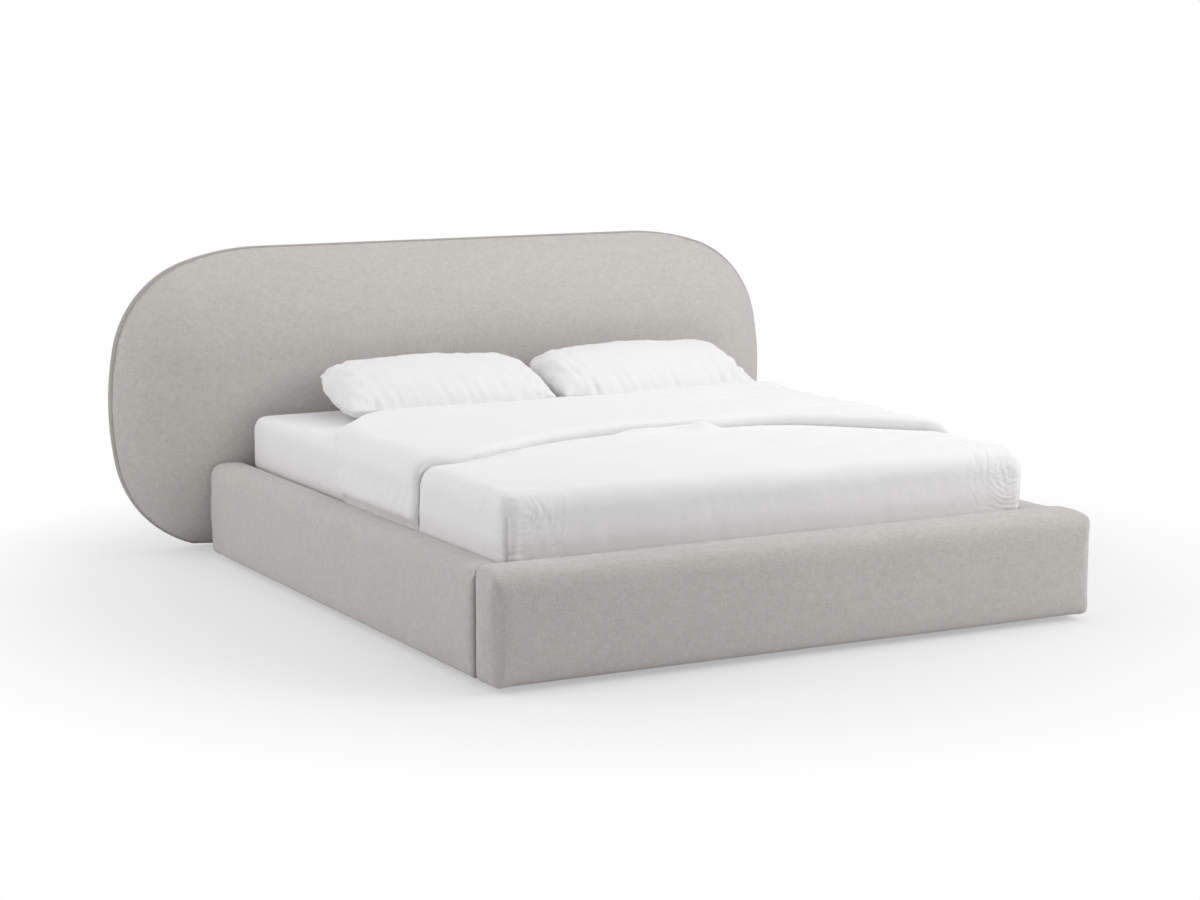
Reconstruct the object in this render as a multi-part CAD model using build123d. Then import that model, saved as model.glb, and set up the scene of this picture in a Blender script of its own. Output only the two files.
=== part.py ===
from build123d import *
import os
from math import atan, cos, radians, sin

# Upholstered storage bed: padded side rails and footboard, a wide rounded headboard,
# and a slatted platform that lifts at the foot to open the storage under the mattress.
# X is the width, Y runs from the foot to the head, Z is up from the floor.

# Mattress and the room left round it
mattress_width = 1800.0
mattress_length = 2000.0
mattress_thickness = 209.0
mattress_edge_radius = 42.0
mattress_corner_radius = 44.0
side_gap = 10.0
foot_gap = 14.0
head_gap = 36.0
soft_clearance = 0.3

# Padded frame
glide_height = 15.0
glide_radius = 14.0
side_rail_width = 131.0
side_rail_height = 321.0
side_rail_bulge = 9.0
side_rail_crown = 5.0
rail_top_radius = 46.0
rail_bottom_radius = 22.0
rail_inner_radius = 8.0
rail_end_radius = 24.0
rail_end_reach = 47.0
footboard_depth = 190.0
footboard_rise = 1.0
footboard_bulge = 8.0
footboard_crown = 9.0
footboard_end_bulge = 9.0
footboard_top_radius = 58.0
footboard_bottom_radius = 30.0
footboard_inner_radius = 10.0
footboard_front_corner_radius = 58.0
footboard_back_corner_radius = 105.0
footboard_upper_corner_radius = 50.0
footboard_lower_corner_radius = 28.0
board_thickness = 22.0
board_cover = 21.0
head_board_drop = 42.0
mount_width = 120.0
mount_clearance = 1.0

# Headboard outline: three tangent arcs in each quarter, cut off flat near the floor
panel_width = 2632.0
panel_centre_height = 516.0
panel_half_height = 544.0
panel_side_radius = 1047.0
panel_side_sweep = 11.3
panel_corner_end = 72.2
panel_crown_radius = 917.7
panel_thickness = 40.0
panel_edge_radius = 7.0
pad_depth = 210.0
pad_inset = 5.0
pad_edge_share = 0.9
pad_section_shares = (0.0, 0.08, 0.2, 0.36, 0.56, 0.78, 1.0)
quarter_turn = 90.0
half_turn = 180.0

# Storage floor
ledger_width = 20.0
ledger_height = 20.0
floor_thickness = 6.0
floor_gap = 1.0
floor_panel_count = 3
bearer_width = 60.0
bearer_height = 20.0
bearer_glide_radius = 18.0

# Lifting platform
tube_width = 25.0
tube_height = 34.0
tube_wall = 2.0
slat_width = 68.0
slat_thickness = 8.0
slat_count = 14
slat_end_gap = 46.0
cap_wall = 2.2
cap_depth = 30.0
cap_seat = 12.0
platform_head_gap = 4.0
rest_size = 40.0
rest_spread_share = 0.4
stop_bar_rise = 54.0
stop_bar_width = 620.0
stop_bar_band = 16.0
stop_bar_thickness = 4.0
stop_bar_corner_radius = 30.0
loop_width = 130.0
loop_band = 22.0
loop_thickness = 2.0
loop_corner_radius = 38.0
loop_drop = 18.0

# Lift mechanism: closed places of the pivots, back from the front of the headboard pad
# and up from the floor
main_root_back = 701.0
main_root_height = 200.0
guide_root_back = 815.0
guide_root_height = 99.0
main_tip_back = 405.0
main_tip_height = 232.0
guide_tip_back = 443.0
guide_tip_height = 172.0
strut_root_back = 493.0
strut_root_height = 62.0
strut_tip_back = 295.0
strut_tip_height = 197.0
link_thickness = 5.0
link_half_width = 15.0
plate_thickness = 4.0
plate_margin = 19.0
base_to_main_gap = 1.5
main_to_guide_gap = 4.0
guide_to_plate_gap = 5.5
pin_radius = 6.0
pin_head_radius = 10.0
pin_head_height = 2.5
running_clearance = 0.06
open_pivot_clearance = 1.9

# Gas struts
cylinder_radius = 11.0
cylinder_bore_radius = 9.0
cylinder_length = 164.0
cylinder_start = 14.0
cylinder_floor = 6.0
rod_radius = 5.0
gland_thickness = 8.0
piston_length = 12.0
piston_clearance = 0.1
piston_rest = 4.0
eye_radius = 10.0
eye_thickness = 11.0
stud_radius = 4.0
stud_collar_radius = 8.0
open_stud_clearance = 2.2
strut_offset = 13.0

# Brackets and bolts
bracket_leg = 60.0
bracket_height = 180.0
bracket_thickness = 4.0
bolt_radius = 4.0
bolt_head_radius = 8.0
bolt_head_height = 4.0
bolt_length = 34.0
bolt_spacing_share = 0.6
mount_bolt_length = 96.0
hanger_plate_width = 112.0
hanger_plate_height = 200.0
hanger_plate_thickness = 5.0
hanger_spread_share = 0.62

# Bedding: the front of the folded part is given as shares of the duvet's own length
duvet_top_thickness = 26.0
duvet_drop_thickness = 9.0
duvet_hem_gap = 3.0
duvet_pillow_gap = 16.4
duvet_left_setback = 306.0
duvet_left_corner_share = 0.1167
fold_thickness = 37.0
fold_edge_radius = 30.0
fold_left_share = 0.386
fold_middle_share = 0.5603
fold_right_share = 0.2922
pillow_length = 770.0
pillow_left_centre = -325.0
pillow_right_centre = 485.0
pillow_depth = 476.0
pillow_thickness = 184.0
pillow_tip_thickness = 30.0
pillow_section_shares = (-1.0, -0.9, -0.62, 0.0, 0.62, 0.9, 1.0)
pillow_depth_shares = (0.84, 0.9, 0.96, 1.0, 0.96, 0.9, 0.84)
pillow_rise_shares = (0.0, 0.46, 0.84, 1.0, 0.84, 0.46, 0.0)
pillow_tilt = 12.0
pillow_head_gap = 26.0

# One overrun for every cut, and the room a rounded outline leaves round a bulged face
overrun = 20.0
outline_room = 1.5

along_x = (1, 0, 0)
along_y = (0, 1, 0)
along_z = (0, 0, 1)

# Stations along the bed, with the origin in the middle of its length
overall_length = footboard_depth + foot_gap + mattress_length + head_gap
overall_length += pad_depth + panel_thickness
foot_front = -overall_length / 2
foot_inner = foot_front + footboard_depth
mattress_foot = foot_inner + foot_gap
mattress_head = mattress_foot + mattress_length
pad_front = mattress_head + head_gap
panel_front = pad_front + pad_depth
head_inner = pad_front - board_thickness

# Stations across the bed
rail_inner = mattress_width / 2 + side_gap
rail_outer = rail_inner + side_rail_width
footboard_width = rail_outer * 2

# Heights
underside = glide_height
board_height = side_rail_height - board_cover
head_board_height = board_height - head_board_drop
footboard_height = side_rail_height + footboard_rise
rail_top = underside + side_rail_height
board_top = underside + board_height
floor_top = underside + ledger_height + floor_thickness
cap_top_gap = soft_clearance
tube_top = main_tip_height + pin_radius + tube_height + tube_wall * 2
tube_bottom = tube_top - tube_height
slat_bottom = tube_top + cap_wall * 2
slat_top = slat_bottom + slat_thickness
mattress_bottom = slat_top + cap_wall + cap_top_gap
mattress_top = mattress_bottom + mattress_thickness

# Corner radius of the headboard's outline, which joins its side arc to its crown
corner_room = panel_half_height - panel_side_radius * sin(radians(panel_side_sweep))
corner_room -= panel_crown_radius * (1 - sin(radians(panel_corner_end)))
panel_corner_radius = corner_room / (sin(radians(panel_corner_end)) - sin(radians(panel_side_sweep)))

# Stations of the duvet from the foot of the mattress
duvet_head = mattress_length - pillow_head_gap - pillow_depth * cos(radians(pillow_tilt)) - duvet_pillow_gap
duvet_left_head = duvet_head - duvet_left_setback
duvet_left_corner = mattress_width * duvet_left_corner_share
fold_left_front = duvet_head * fold_left_share
fold_middle_front = duvet_head * fold_middle_share
fold_right_front = duvet_head * fold_right_share

# Layers of the lift mechanism, from the side board inwards
base_plate_low = rail_inner - plate_thickness
main_arm_low = base_plate_low - base_to_main_gap - link_thickness
guide_arm_low = main_arm_low - main_to_guide_gap - link_thickness
lift_plate_low = guide_arm_low - guide_to_plate_gap - plate_thickness
lift_plate_high = lift_plate_low + plate_thickness
strut_centre = lift_plate_low - strut_offset


def pivot(back, height):
    """Place of a pivot in the side view, as Y and Z."""
    return (pad_front - back, height)


main_root = pivot(main_root_back, main_root_height)
guide_root = pivot(guide_root_back, guide_root_height)
main_tip = pivot(main_tip_back, main_tip_height)
guide_tip = pivot(guide_tip_back, guide_tip_height)
strut_root = pivot(strut_root_back, strut_root_height)
strut_tip = pivot(strut_tip_back, strut_tip_height)


def side_view(x):
    """Plane whose sketches show Y to the right and Z up, and extrude towards +X."""
    return Plane(origin=(x, 0, 0), x_dir=(0, 1, 0), z_dir=(1, 0, 0))


def front_view(y, z=0):
    """Plane whose sketches show X to the right and Z up from a height, at a station."""
    return Plane(origin=(0, y, z), x_dir=(1, 0, 0), z_dir=(0, -1, 0))


def block(x_range, y_range, z_range):
    """Solid between two limits on each axis."""
    size = [high - low for low, high in (x_range, y_range, z_range)]
    low_corner = (x_range[0], y_range[0], z_range[0])
    return Location(low_corner) * Box(*size, align=(Align.MIN, Align.MIN, Align.MIN))


def prism(face, direction, length):
    """Face run along a direction, whichever way the face looks."""
    return extrude(face, amount=length, dir=direction)


def rod_along_x(centre, radius, x_low, x_high):
    """Round bar along X, with its axis at a Y and Z place."""
    return prism(side_view(x_low) * Pos(*centre) * Circle(radius), along_x, x_high - x_low)


def mirrored(shape):
    """The same piece on the other side of the bed."""
    return mirror(shape, about=Plane.YZ)


def both_sides(shape):
    """The shape's solids with their copies on the other side, as separate solids."""
    return group([shape, mirrored(shape)])


def group(shapes):
    """Separate solids that share one node."""
    solids = []
    for shape in shapes:
        solids.extend(shape.solids())
    return Compound(children=solids)


def rail_section(inner, outer, bottom, top, bulge, crown, radii):
    """Cross-section of a padded rail: flat inside, bulged outside and crowned on top."""
    middle = (bottom + top) / 2
    corners = [(inner, bottom), (outer, bottom), (outer, top), (inner, top)]
    reach = bulge if outer > inner else -bulge
    outline = [
        Line(corners[0], corners[1]),
        ThreePointArc(corners[1], (outer + reach, middle), corners[2]),
        ThreePointArc(corners[2], ((inner + outer) / 2, top + crown), corners[3]),
        Line(corners[3], corners[0]),
    ]
    return rounded_at(make_face(outline), corners, radii)


def rounded_rectangle(x_range, y_range, radii):
    """Flat face with its own radius at each corner, round from the low corner; zero is sharp."""
    low, high = zip(x_range, y_range)
    corners = [low, (high[0], low[1]), high, (low[0], high[1])]
    face = make_face(Polyline(*corners, close=True))
    return rounded_at(face, corners, radii)


def rounded_at(face, corners, radii):
    """Face with the vertices nearest to some corners rounded."""
    for corner, radius in zip(corners, radii):
        if radius > 0:
            face = fillet(face.vertices().sort_by_distance((*corner, 0))[0], radius)
    return face


def side_rail_form():
    """Whole upholstered side rail on the +X side, before its board is let in."""
    flank = rail_outer - side_rail_bulge
    radii = (0, rail_bottom_radius, rail_top_radius, rail_inner_radius)
    section = rail_section(rail_inner, flank, underside, rail_top - side_rail_crown,
                           side_rail_bulge, side_rail_crown, radii)
    low_end = foot_inner - rail_end_reach
    form = prism(front_view(low_end) * section, along_y, pad_front - low_end)
    x_range = (rail_inner - overrun, rail_outer + outline_room)
    z_range = (underside - overrun, rail_top + outline_room)
    length = (low_end, pad_front + overrun)
    plan = rounded_rectangle(x_range, length, (0, rail_end_radius, 0, 0))
    side = rounded_rectangle(length, z_range, (0, 0, 0, rail_end_radius))
    plan_form = prism(Pos(0, 0, underside - overrun) * plan, along_z, rail_top + overrun * 2)
    side_form = prism(side_view(rail_inner - overrun) * side, along_x, side_rail_width + overrun * 2)
    return form & plan_form & side_form


def side_board_block():
    """Space that the board of the +X side rail takes up."""
    width = (rail_inner, rail_inner + board_thickness)
    return block(width, (foot_inner, pad_front), (underside, board_top))


def side_board():
    """Board on the inside of the +X side rail, with its bolt holes."""
    return side_board_block() - shanks(corner_bolt_places() + lift_base_bolt_places())


def side_pad():
    """Foam and cover of the +X side rail, fitted over its board and round the footboard's corner."""
    return side_rail_form() - side_board_block() - footboard_plan_form()


def footboard_form():
    """Whole upholstered footboard, before its board is let in."""
    half_width = footboard_width / 2
    top = underside + footboard_height
    section = rail_section(foot_inner, foot_front + footboard_bulge, underside, top,
                           footboard_bulge, footboard_crown,
                           (footboard_inner_radius, footboard_bottom_radius,
                            footboard_top_radius, footboard_inner_radius))
    long_form = prism(side_view(-half_width - overrun) * section, along_x, footboard_width + overrun * 2)
    face = front_view(foot_front - overrun) * footboard_face(top + footboard_crown + outline_room)
    front_form = prism(face, along_y, footboard_depth + overrun * 2)
    return long_form & front_form & footboard_plan_form()


def footboard_plan_form():
    """Upright block as wide and as deep as the footboard, with its corners seen from above."""
    back = footboard_back_corner_radius
    front = footboard_front_corner_radius
    reach = footboard_width / 2 + outline_room
    depth = (foot_front - outline_room, foot_inner)
    plan = rounded_rectangle((-reach, reach), depth, (front, front, back, back))
    return prism(Pos(0, 0, underside - overrun) * plan, along_z, footboard_height + overrun * 4)


def footboard_face(top):
    """Footboard seen from the front, with its ends bulged and its corners rounded."""
    half_width = footboard_width / 2
    end = half_width - footboard_end_bulge
    middle = (underside + top) / 2
    face = make_face([
        Line((-end, underside), (end, underside)),
        ThreePointArc((end, underside), (half_width, middle), (end, top)),
        Line((end, top), (-end, top)),
        ThreePointArc((-end, top), (-half_width, middle), (-end, underside)),
    ])
    lower = footboard_lower_corner_radius
    upper = footboard_upper_corner_radius
    corners = [(-end, underside), (end, underside), (end, top), (-end, top)]
    return rounded_at(face, corners, (lower, lower, upper, upper))


def footboard_block():
    """Space that the footboard's board takes up."""
    depth = (foot_inner - board_thickness, foot_inner)
    return block((-rail_inner, rail_inner), depth, (underside, board_top))


def footboard_board():
    """Board on the inside of the footboard, with the bolt holes of both corner brackets."""
    return footboard_block() - both_sides(shanks(corner_bolt_places()))


def footboard_pad():
    """Foam and cover of the footboard, fitted over its board."""
    return footboard_form() - footboard_block()


def headboard_outline(inset):
    """Headboard outline, drawn in by an inset, about the middle of its height."""
    side_centre_x = panel_width / 2 - panel_side_radius
    sweep = radians(panel_side_sweep)
    corner_end = radians(panel_corner_end)
    corner_x = side_centre_x + (panel_side_radius - panel_corner_radius) * cos(sweep)
    corner_z = (panel_side_radius - panel_corner_radius) * sin(sweep)
    crown_x = corner_x + (panel_corner_radius - panel_crown_radius) * cos(corner_end)
    crown_z = corner_z + (panel_corner_radius - panel_crown_radius) * sin(corner_end)
    arcs = (
        (side_centre_x, 0, panel_side_radius - inset, 0, panel_side_sweep),
        (corner_x, corner_z, panel_corner_radius - inset, panel_side_sweep, panel_corner_end),
        (crown_x, crown_z, panel_crown_radius - inset, panel_corner_end, quarter_turn),
    )
    quarter = [CenterArc((x, z), radius, start, end - start) for x, z, radius, start, end in arcs]
    upper = quarter + [mirror(arc, about=Plane.YZ) for arc in quarter]
    level = panel_half_height - inset
    upper.append(Line((crown_x, level), (-crown_x, level)))
    return make_face(upper + [mirror(edge, about=Plane.XZ) for edge in upper])


def above_floor(shape):
    """Headboard piece with its bottom cut off flat at the underside of the frame."""
    reach = panel_width
    cutter = block((-reach, reach), (-reach, reach), (underside - reach, underside))
    return shape - cutter


def headboard_panel():
    """Upholstered rear panel with softened edges."""
    face = front_view(panel_front, panel_centre_height) * headboard_outline(0)
    slab = prism(face, along_y, panel_thickness)
    faces = slab.faces().sort_by(Axis.Y)
    slab = fillet(faces[0].edges() + faces[-1].edges(), panel_edge_radius)
    return above_floor(slab)


def headboard_pad():
    """Domed front pad: its edge leaves the seam at a slope and rounds into a flat face."""
    zone = (panel_corner_radius - pad_inset) * pad_edge_share
    slope = 2 * atan(pad_depth / zone)
    dome_radius = zone / sin(slope)
    sections = []
    for share in pad_section_shares:
        angle = slope * (1 - share)
        inset = pad_inset + zone - dome_radius * sin(angle)
        depth = dome_radius * (cos(angle) - cos(slope))
        sections.append(front_view(panel_front - depth, panel_centre_height) * headboard_outline(inset))
    return above_floor(loft(sections)) - mount_blocks(mount_clearance)


def frame_glides():
    """Glides under the boards of the frame and under the headboard panel."""
    board_x = rail_inner + board_thickness / 2
    stations = [foot_inner + bracket_leg, (foot_inner + pad_front) / 2, pad_front - bracket_leg]
    places = [(side * board_x, y) for side in (-1, 1) for y in stations]
    places += [(side * board_x / 2, foot_inner - board_thickness / 2) for side in (-1, 1)]
    spread = mattress_width * hanger_spread_share / 2
    places += [(side * spread, panel_front + panel_thickness / 2) for side in (-1, 1)]
    return glides(places, glide_radius)


def glides(places, radius):
    """Round glides that fill the height between the floor and the frame."""
    return group([Pos(x, y, glide_height / 2) * Cylinder(radius, glide_height) for x, y in places])


def head_board():
    """Cross board at the head, between the side boards, with its bolt holes."""
    top = underside + head_board_height
    board = block((-rail_inner, rail_inner), (head_inner, pad_front), (underside, top))
    return board - both_sides(shanks(corner_bolt_places())) - shanks(mount_bolt_places())


def mount_blocks(grow=0):
    """Space of the two timber blocks between the head board and the headboard panel."""
    spread = mattress_width * hanger_spread_share / 2
    half = mount_width / 2 + grow
    top = underside + head_board_height + grow
    low = underside - overrun if grow > 0 else underside
    blocks = [block((x - half, x + half), (pad_front, panel_front), (low, top)) for x in (-spread, spread)]
    return group(blocks)


def headboard_mounts():
    """Timber blocks that carry the headboard, drilled for its bolts."""
    return group([mount_blocks() - shanks(mount_bolt_places())])


def side_ledger():
    """Batten along the +X side board that carries the storage floor."""
    length = (foot_inner + ledger_width, head_inner - ledger_width)
    return block((rail_inner - ledger_width, rail_inner), length, (underside, underside + ledger_height))


def cross_ledgers():
    """Battens across the bed at the foot and the head."""
    heights = (underside, underside + ledger_height)
    return group([block((-rail_inner, rail_inner), (y_low, y_low + ledger_width), heights)
                  for y_low in (foot_inner, head_inner - ledger_width)])


def centre_bearer():
    """Flat bearer down the middle under the joints of the storage floor."""
    length = (foot_inner + ledger_width, head_inner - ledger_width)
    top = floor_top - floor_thickness
    return block((-bearer_width / 2, bearer_width / 2), length, (top - bearer_height, top))


def bearer_glides():
    """Glides under the centre bearer."""
    span = head_inner - foot_inner
    pitch = span / (floor_panel_count + 1)
    places = [(0, foot_inner + pitch * number) for number in range(1, floor_panel_count + 1)]
    return glides(places, bearer_glide_radius)


def floor_panel(number):
    """One panel of the storage floor, counted from the foot."""
    start = foot_inner + floor_gap
    pitch = (head_inner - foot_inner - floor_gap) / floor_panel_count
    low = start + number * pitch
    return block((-rail_inner + floor_gap, rail_inner - floor_gap),
                 (low, low + pitch - floor_gap), (floor_top - floor_thickness, floor_top))


def platform_rests():
    """Blocks on the foot and head boards that the closed platform lies on."""
    spread = mattress_width * rest_spread_share
    blocks = []
    for x in (-spread, 0, spread):
        x_range = (x - rest_size / 2, x + rest_size / 2)
        z_range = (tube_bottom - rest_size, tube_bottom)
        blocks.append(block(x_range, (foot_inner, foot_inner + rest_size), z_range))
        blocks.append(block(x_range, (head_inner - rest_size, head_inner), z_range))
    return group(blocks)


def tube(x_range, y_range, along):
    """Rectangular steel tube with open ends, along X or Y."""
    outer = block(x_range, y_range, (tube_bottom, tube_top))
    x_wall = (x_range[0] + tube_wall, x_range[1] - tube_wall)
    y_wall = (y_range[0] + tube_wall, y_range[1] - tube_wall)
    if along == "X":
        x_wall = (x_range[0] - overrun, x_range[1] + overrun)
    else:
        y_wall = (y_range[0] - overrun, y_range[1] + overrun)
    return outer - block(x_wall, y_wall, (tube_bottom + tube_wall, tube_top - tube_wall))


platform_foot = mattress_foot
platform_head = mattress_head - platform_head_gap
platform_side = lift_plate_low
tube_inner = platform_side - tube_width


def side_tube():
    """Side tube of the platform on +X."""
    return tube((tube_inner, platform_side), (platform_foot, platform_head), "Y")


def cross_tube(y_low):
    """Tube across the platform, between the side tubes."""
    return tube((-tube_inner, tube_inner), (y_low, y_low + tube_width), "X")


def centre_tube():
    """Tube down the middle of the platform, between the foot and head tubes."""
    return tube((-tube_width / 2, tube_width / 2),
                (platform_foot + tube_width, platform_head - tube_width), "Y")


def slat_stations():
    """Places of the slats along the platform."""
    first = platform_foot + slat_end_gap + slat_width / 2
    last = platform_head - slat_end_gap - slat_width / 2
    return [first + (last - first) * number / (slat_count - 1) for number in range(slat_count)]


slat_outer = tube_inner + cap_depth / 2 - cap_wall
slat_inner = tube_width / 2 - cap_depth / 2 + cap_wall + cap_seat


def slats(side):
    """Slats of one half of the platform, seated in their holders."""
    low, high = sorted((side * slat_inner, side * slat_outer))
    boards = []
    for y in slat_stations():
        board = block((low, high), (y - slat_width / 2, y + slat_width / 2), (slat_bottom, slat_top))
        boards.append(fillet(board.edges().filter_by(Axis.Z), slat_thickness))
    return group(boards)


def slat_holder(x_low, x_high, y, closed_low, closed_high):
    """Plastic holder round a slat's end, standing on a tube."""
    half = slat_width / 2 + cap_wall
    body = block((x_low, x_high), (y - half, y + half), (tube_top, slat_top + cap_wall))
    pocket_low = x_low + cap_wall if closed_low else x_low - overrun
    pocket_high = x_high - cap_wall if closed_high else x_high + overrun
    half_pocket = slat_width / 2
    pocket = block((pocket_low, pocket_high), (y - half_pocket, y + half_pocket), (slat_bottom, slat_top))
    return body - pocket


def side_slat_holders():
    """Holders along the +X side tube."""
    x_high = slat_outer + cap_wall
    return group([slat_holder(x_high - cap_depth, x_high, y, False, True) for y in slat_stations()])


def centre_slat_holders():
    """Holders along the centre tube, open to both sides."""
    reach = slat_inner + cap_depth / 2
    holders = []
    for y in slat_stations():
        holder = slat_holder(-reach, reach, y, False, False)
        depth = (y - slat_width / 2, y + slat_width / 2)
        rib = block((-slat_inner, slat_inner), depth, (slat_bottom, slat_top))
        holders.append(holder + rib)
    return group(holders)


def arch(half, low, high, corner):
    """Upright face with its two upper corners rounded."""
    return rounded_rectangle((-half, half), (low, high), (0, 0, corner, corner))


def hoop(width, high, band, thickness, corner):
    """Flat hoop against the front of the foot tube, open at the bottom."""
    low = tube_bottom + tube_wall
    inner = arch(width / 2 - band, low - overrun, high - band, corner - band)
    face = arch(width / 2, low, high, corner) - inner
    return prism(front_view(platform_foot - thickness) * face, along_y, thickness)


def stop_bar():
    """Flat bar hoop at the foot that keeps the mattress on the lifted platform."""
    high = tube_top + stop_bar_rise
    return hoop(stop_bar_width, high, stop_bar_band, stop_bar_thickness, stop_bar_corner_radius)


def pull_loop():
    """Webbing loop on the foot tube, for lifting the platform."""
    high = tube_top + stop_bar_rise - loop_drop
    return hoop(loop_width, high, loop_band, loop_thickness, loop_corner_radius)


def arm(root, tip, x_low, tip_hole_radius):
    """Flat link with a running hole at its root and another hole at its tip."""
    plane = side_view(x_low)
    body = SlotCenterPoint(((root[0] + tip[0]) / 2, (root[1] + tip[1]) / 2), tip, link_half_width * 2)
    holes = Pos(*root) * Circle(pin_radius + running_clearance) + Pos(*tip) * Circle(tip_hole_radius)
    return prism(plane * (body - holes), along_x, link_thickness)


def main_arm():
    """Upper arm of the lift on +X, which carries the platform."""
    return arm(main_root, main_tip, main_arm_low, pin_radius + running_clearance)


def guide_arm():
    """Lower arm of the lift on +X, which turns the platform; its tip pivot has clearance."""
    return arm(guide_root, guide_tip, guide_arm_low, pin_radius + open_pivot_clearance)


def plate_outline(places):
    """Rounded outline that covers some places with a margin."""
    return offset(make_face(Polyline(*places, close=True)), amount=plate_margin, kind=Kind.ARC)


def holes(places, radii, x_low, x_high):
    """Round cuts along X, right through a plate."""
    low = x_low - overrun
    high = x_high + overrun
    return [rod_along_x(place, radius, low, high) for place, radius in zip(places, radii)]


def lift_base():
    """Steel plate on the +X side board that carries the lift's fixed pivots."""
    places = (guide_root, strut_root, main_root)
    plate = prism(side_view(base_plate_low) * plate_outline(places), along_x, plate_thickness)
    cuts = holes(places, (pin_radius, stud_radius, pin_radius), base_plate_low, rail_inner)
    return plate - cuts - shanks(lift_base_bolt_places())


def lift_base_bolt_places():
    """Bolts of the +X base plate, halfway between its pivots."""
    corners = (guide_root, strut_root, main_root)
    places = []
    for first, second in zip(corners, corners[1:] + corners[:1]):
        middle = ((first[0] + second[0]) / 2, (first[1] + second[1]) / 2)
        places.append(((base_plate_low, *middle), along_x, bolt_length / 2))
    return places


def lift_plate():
    """Steel plate on the outside of the +X side tube, which the arms and the strut lift."""
    top_back = (strut_tip[0], tube_top - plate_margin)
    top_front = (main_tip[0] - plate_margin, tube_top - plate_margin)
    outline = plate_outline((guide_tip, strut_tip, top_back, top_front))
    plate = prism(side_view(lift_plate_low) * outline, along_x, plate_thickness)
    places = (main_tip, guide_tip, strut_tip)
    return plate - holes(places, (pin_radius, pin_radius, stud_radius), lift_plate_low, lift_plate_high)


def pin(place, x_range, head_range, collar_range):
    """Pivot pin with a flat head and a collar, on either side of the link it carries."""
    body = rod_along_x(place, pin_radius, *x_range)
    head = rod_along_x(place, pin_head_radius, *head_range)
    return body + head + rod_along_x(place, pin_head_radius, *collar_range)


def base_pins():
    """Pins of the +X fixed pivots and the stud that holds the strut's lower eye."""
    pins = []
    for place, low in ((main_root, main_arm_low), (guide_root, guide_arm_low)):
        near = low - running_clearance
        far = low + link_thickness + running_clearance
        pins.append(pin(place, (near, rail_inner), (near - pin_head_height, near), (far, base_plate_low)))
    return group(pins + [stud(strut_root, base_plate_low, rail_inner)])


def platform_pins():
    """Pins and stud that the +X lift plate carries."""
    pins = []
    for place, low in ((main_tip, main_arm_low), (guide_tip, guide_arm_low)):
        near = low - running_clearance
        far = low + link_thickness + running_clearance
        head = (far, far + pin_head_height)
        pins.append(pin(place, (lift_plate_low, far), head, (lift_plate_high, near)))
    return group(pins + [stud(strut_tip, lift_plate_low, lift_plate_high)])


def stud(place, collar_high, x_high):
    """Stud of a strut's eye, with a retaining head and a collar up to the plate."""
    near = strut_centre - eye_thickness / 2 - running_clearance
    far = strut_centre + eye_thickness / 2 + running_clearance
    shank = rod_along_x(place, stud_radius, near, x_high)
    head = rod_along_x(place, stud_collar_radius, near - pin_head_height, near)
    return shank + head + rod_along_x(place, stud_collar_radius, far, collar_high)


def strut_plane():
    """Plane at the strut's lower eye: local Z runs up the strut, local X along the bed's width."""
    direction = (0, strut_tip[0] - strut_root[0], strut_tip[1] - strut_root[1])
    return Plane(origin=(strut_centre, *strut_root), x_dir=(1, 0, 0), z_dir=direction)


def strut_length():
    """Distance between the strut's eyes when the platform is closed."""
    return Vector(strut_tip[0] - strut_root[0], strut_tip[1] - strut_root[1]).length


def eye(place, hole_radius):
    """Round end eye of a strut, on its stud's axis."""
    low = strut_centre - eye_thickness / 2
    high = strut_centre + eye_thickness / 2
    hole = rod_along_x(place, hole_radius, low - overrun, high + overrun)
    return rod_along_x(place, eye_radius, low, high), hole


def strut_cylinder():
    """Gas cylinder with its lower eye, bore and end gland."""
    plane = strut_plane()
    body = extrude(plane.offset(cylinder_start) * Circle(cylinder_radius), cylinder_length)
    neck = extrude(plane * Circle(rod_radius), cylinder_start + cylinder_floor)
    bore_start = cylinder_start + cylinder_floor
    bore = extrude(plane.offset(bore_start) * Circle(cylinder_bore_radius),
                   cylinder_length - cylinder_floor - gland_thickness)
    mouth_face = plane.offset(bore_start) * Circle(rod_radius + running_clearance)
    mouth = extrude(mouth_face, cylinder_length + overrun)
    ring, hole = eye(strut_root, stud_radius + running_clearance)
    return body + neck + ring - bore - mouth - hole


def strut_rod():
    """Polished rod with its piston and its upper eye."""
    plane = strut_plane()
    start = cylinder_start + cylinder_floor + piston_rest
    rod = extrude(plane.offset(start) * Circle(rod_radius), strut_length() - start)
    piston = extrude(plane.offset(start) * Circle(cylinder_bore_radius - piston_clearance), piston_length)
    ring, hole = eye(strut_tip, stud_radius + open_stud_clearance)
    return rod + piston + ring - hole


def bolt(place, direction, length):
    """Bolt with a flat round head; its shank starts at the place and runs along the direction."""
    head = extrude(Plane(origin=place, z_dir=direction) * Circle(bolt_head_radius), -bolt_head_height)
    return head + shank(place, direction, length)


def shank(place, direction, length):
    """Shank of a bolt, or the hole it fills."""
    return extrude(Plane(origin=place, z_dir=direction) * Circle(bolt_radius), length)


def shanks(places):
    """Shanks of several bolts, as separate solids."""
    return group([shank(*place) for place in places])


def bolts(places):
    """Several bolts, as separate solids."""
    return group([bolt(*place) for place in places])


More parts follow.
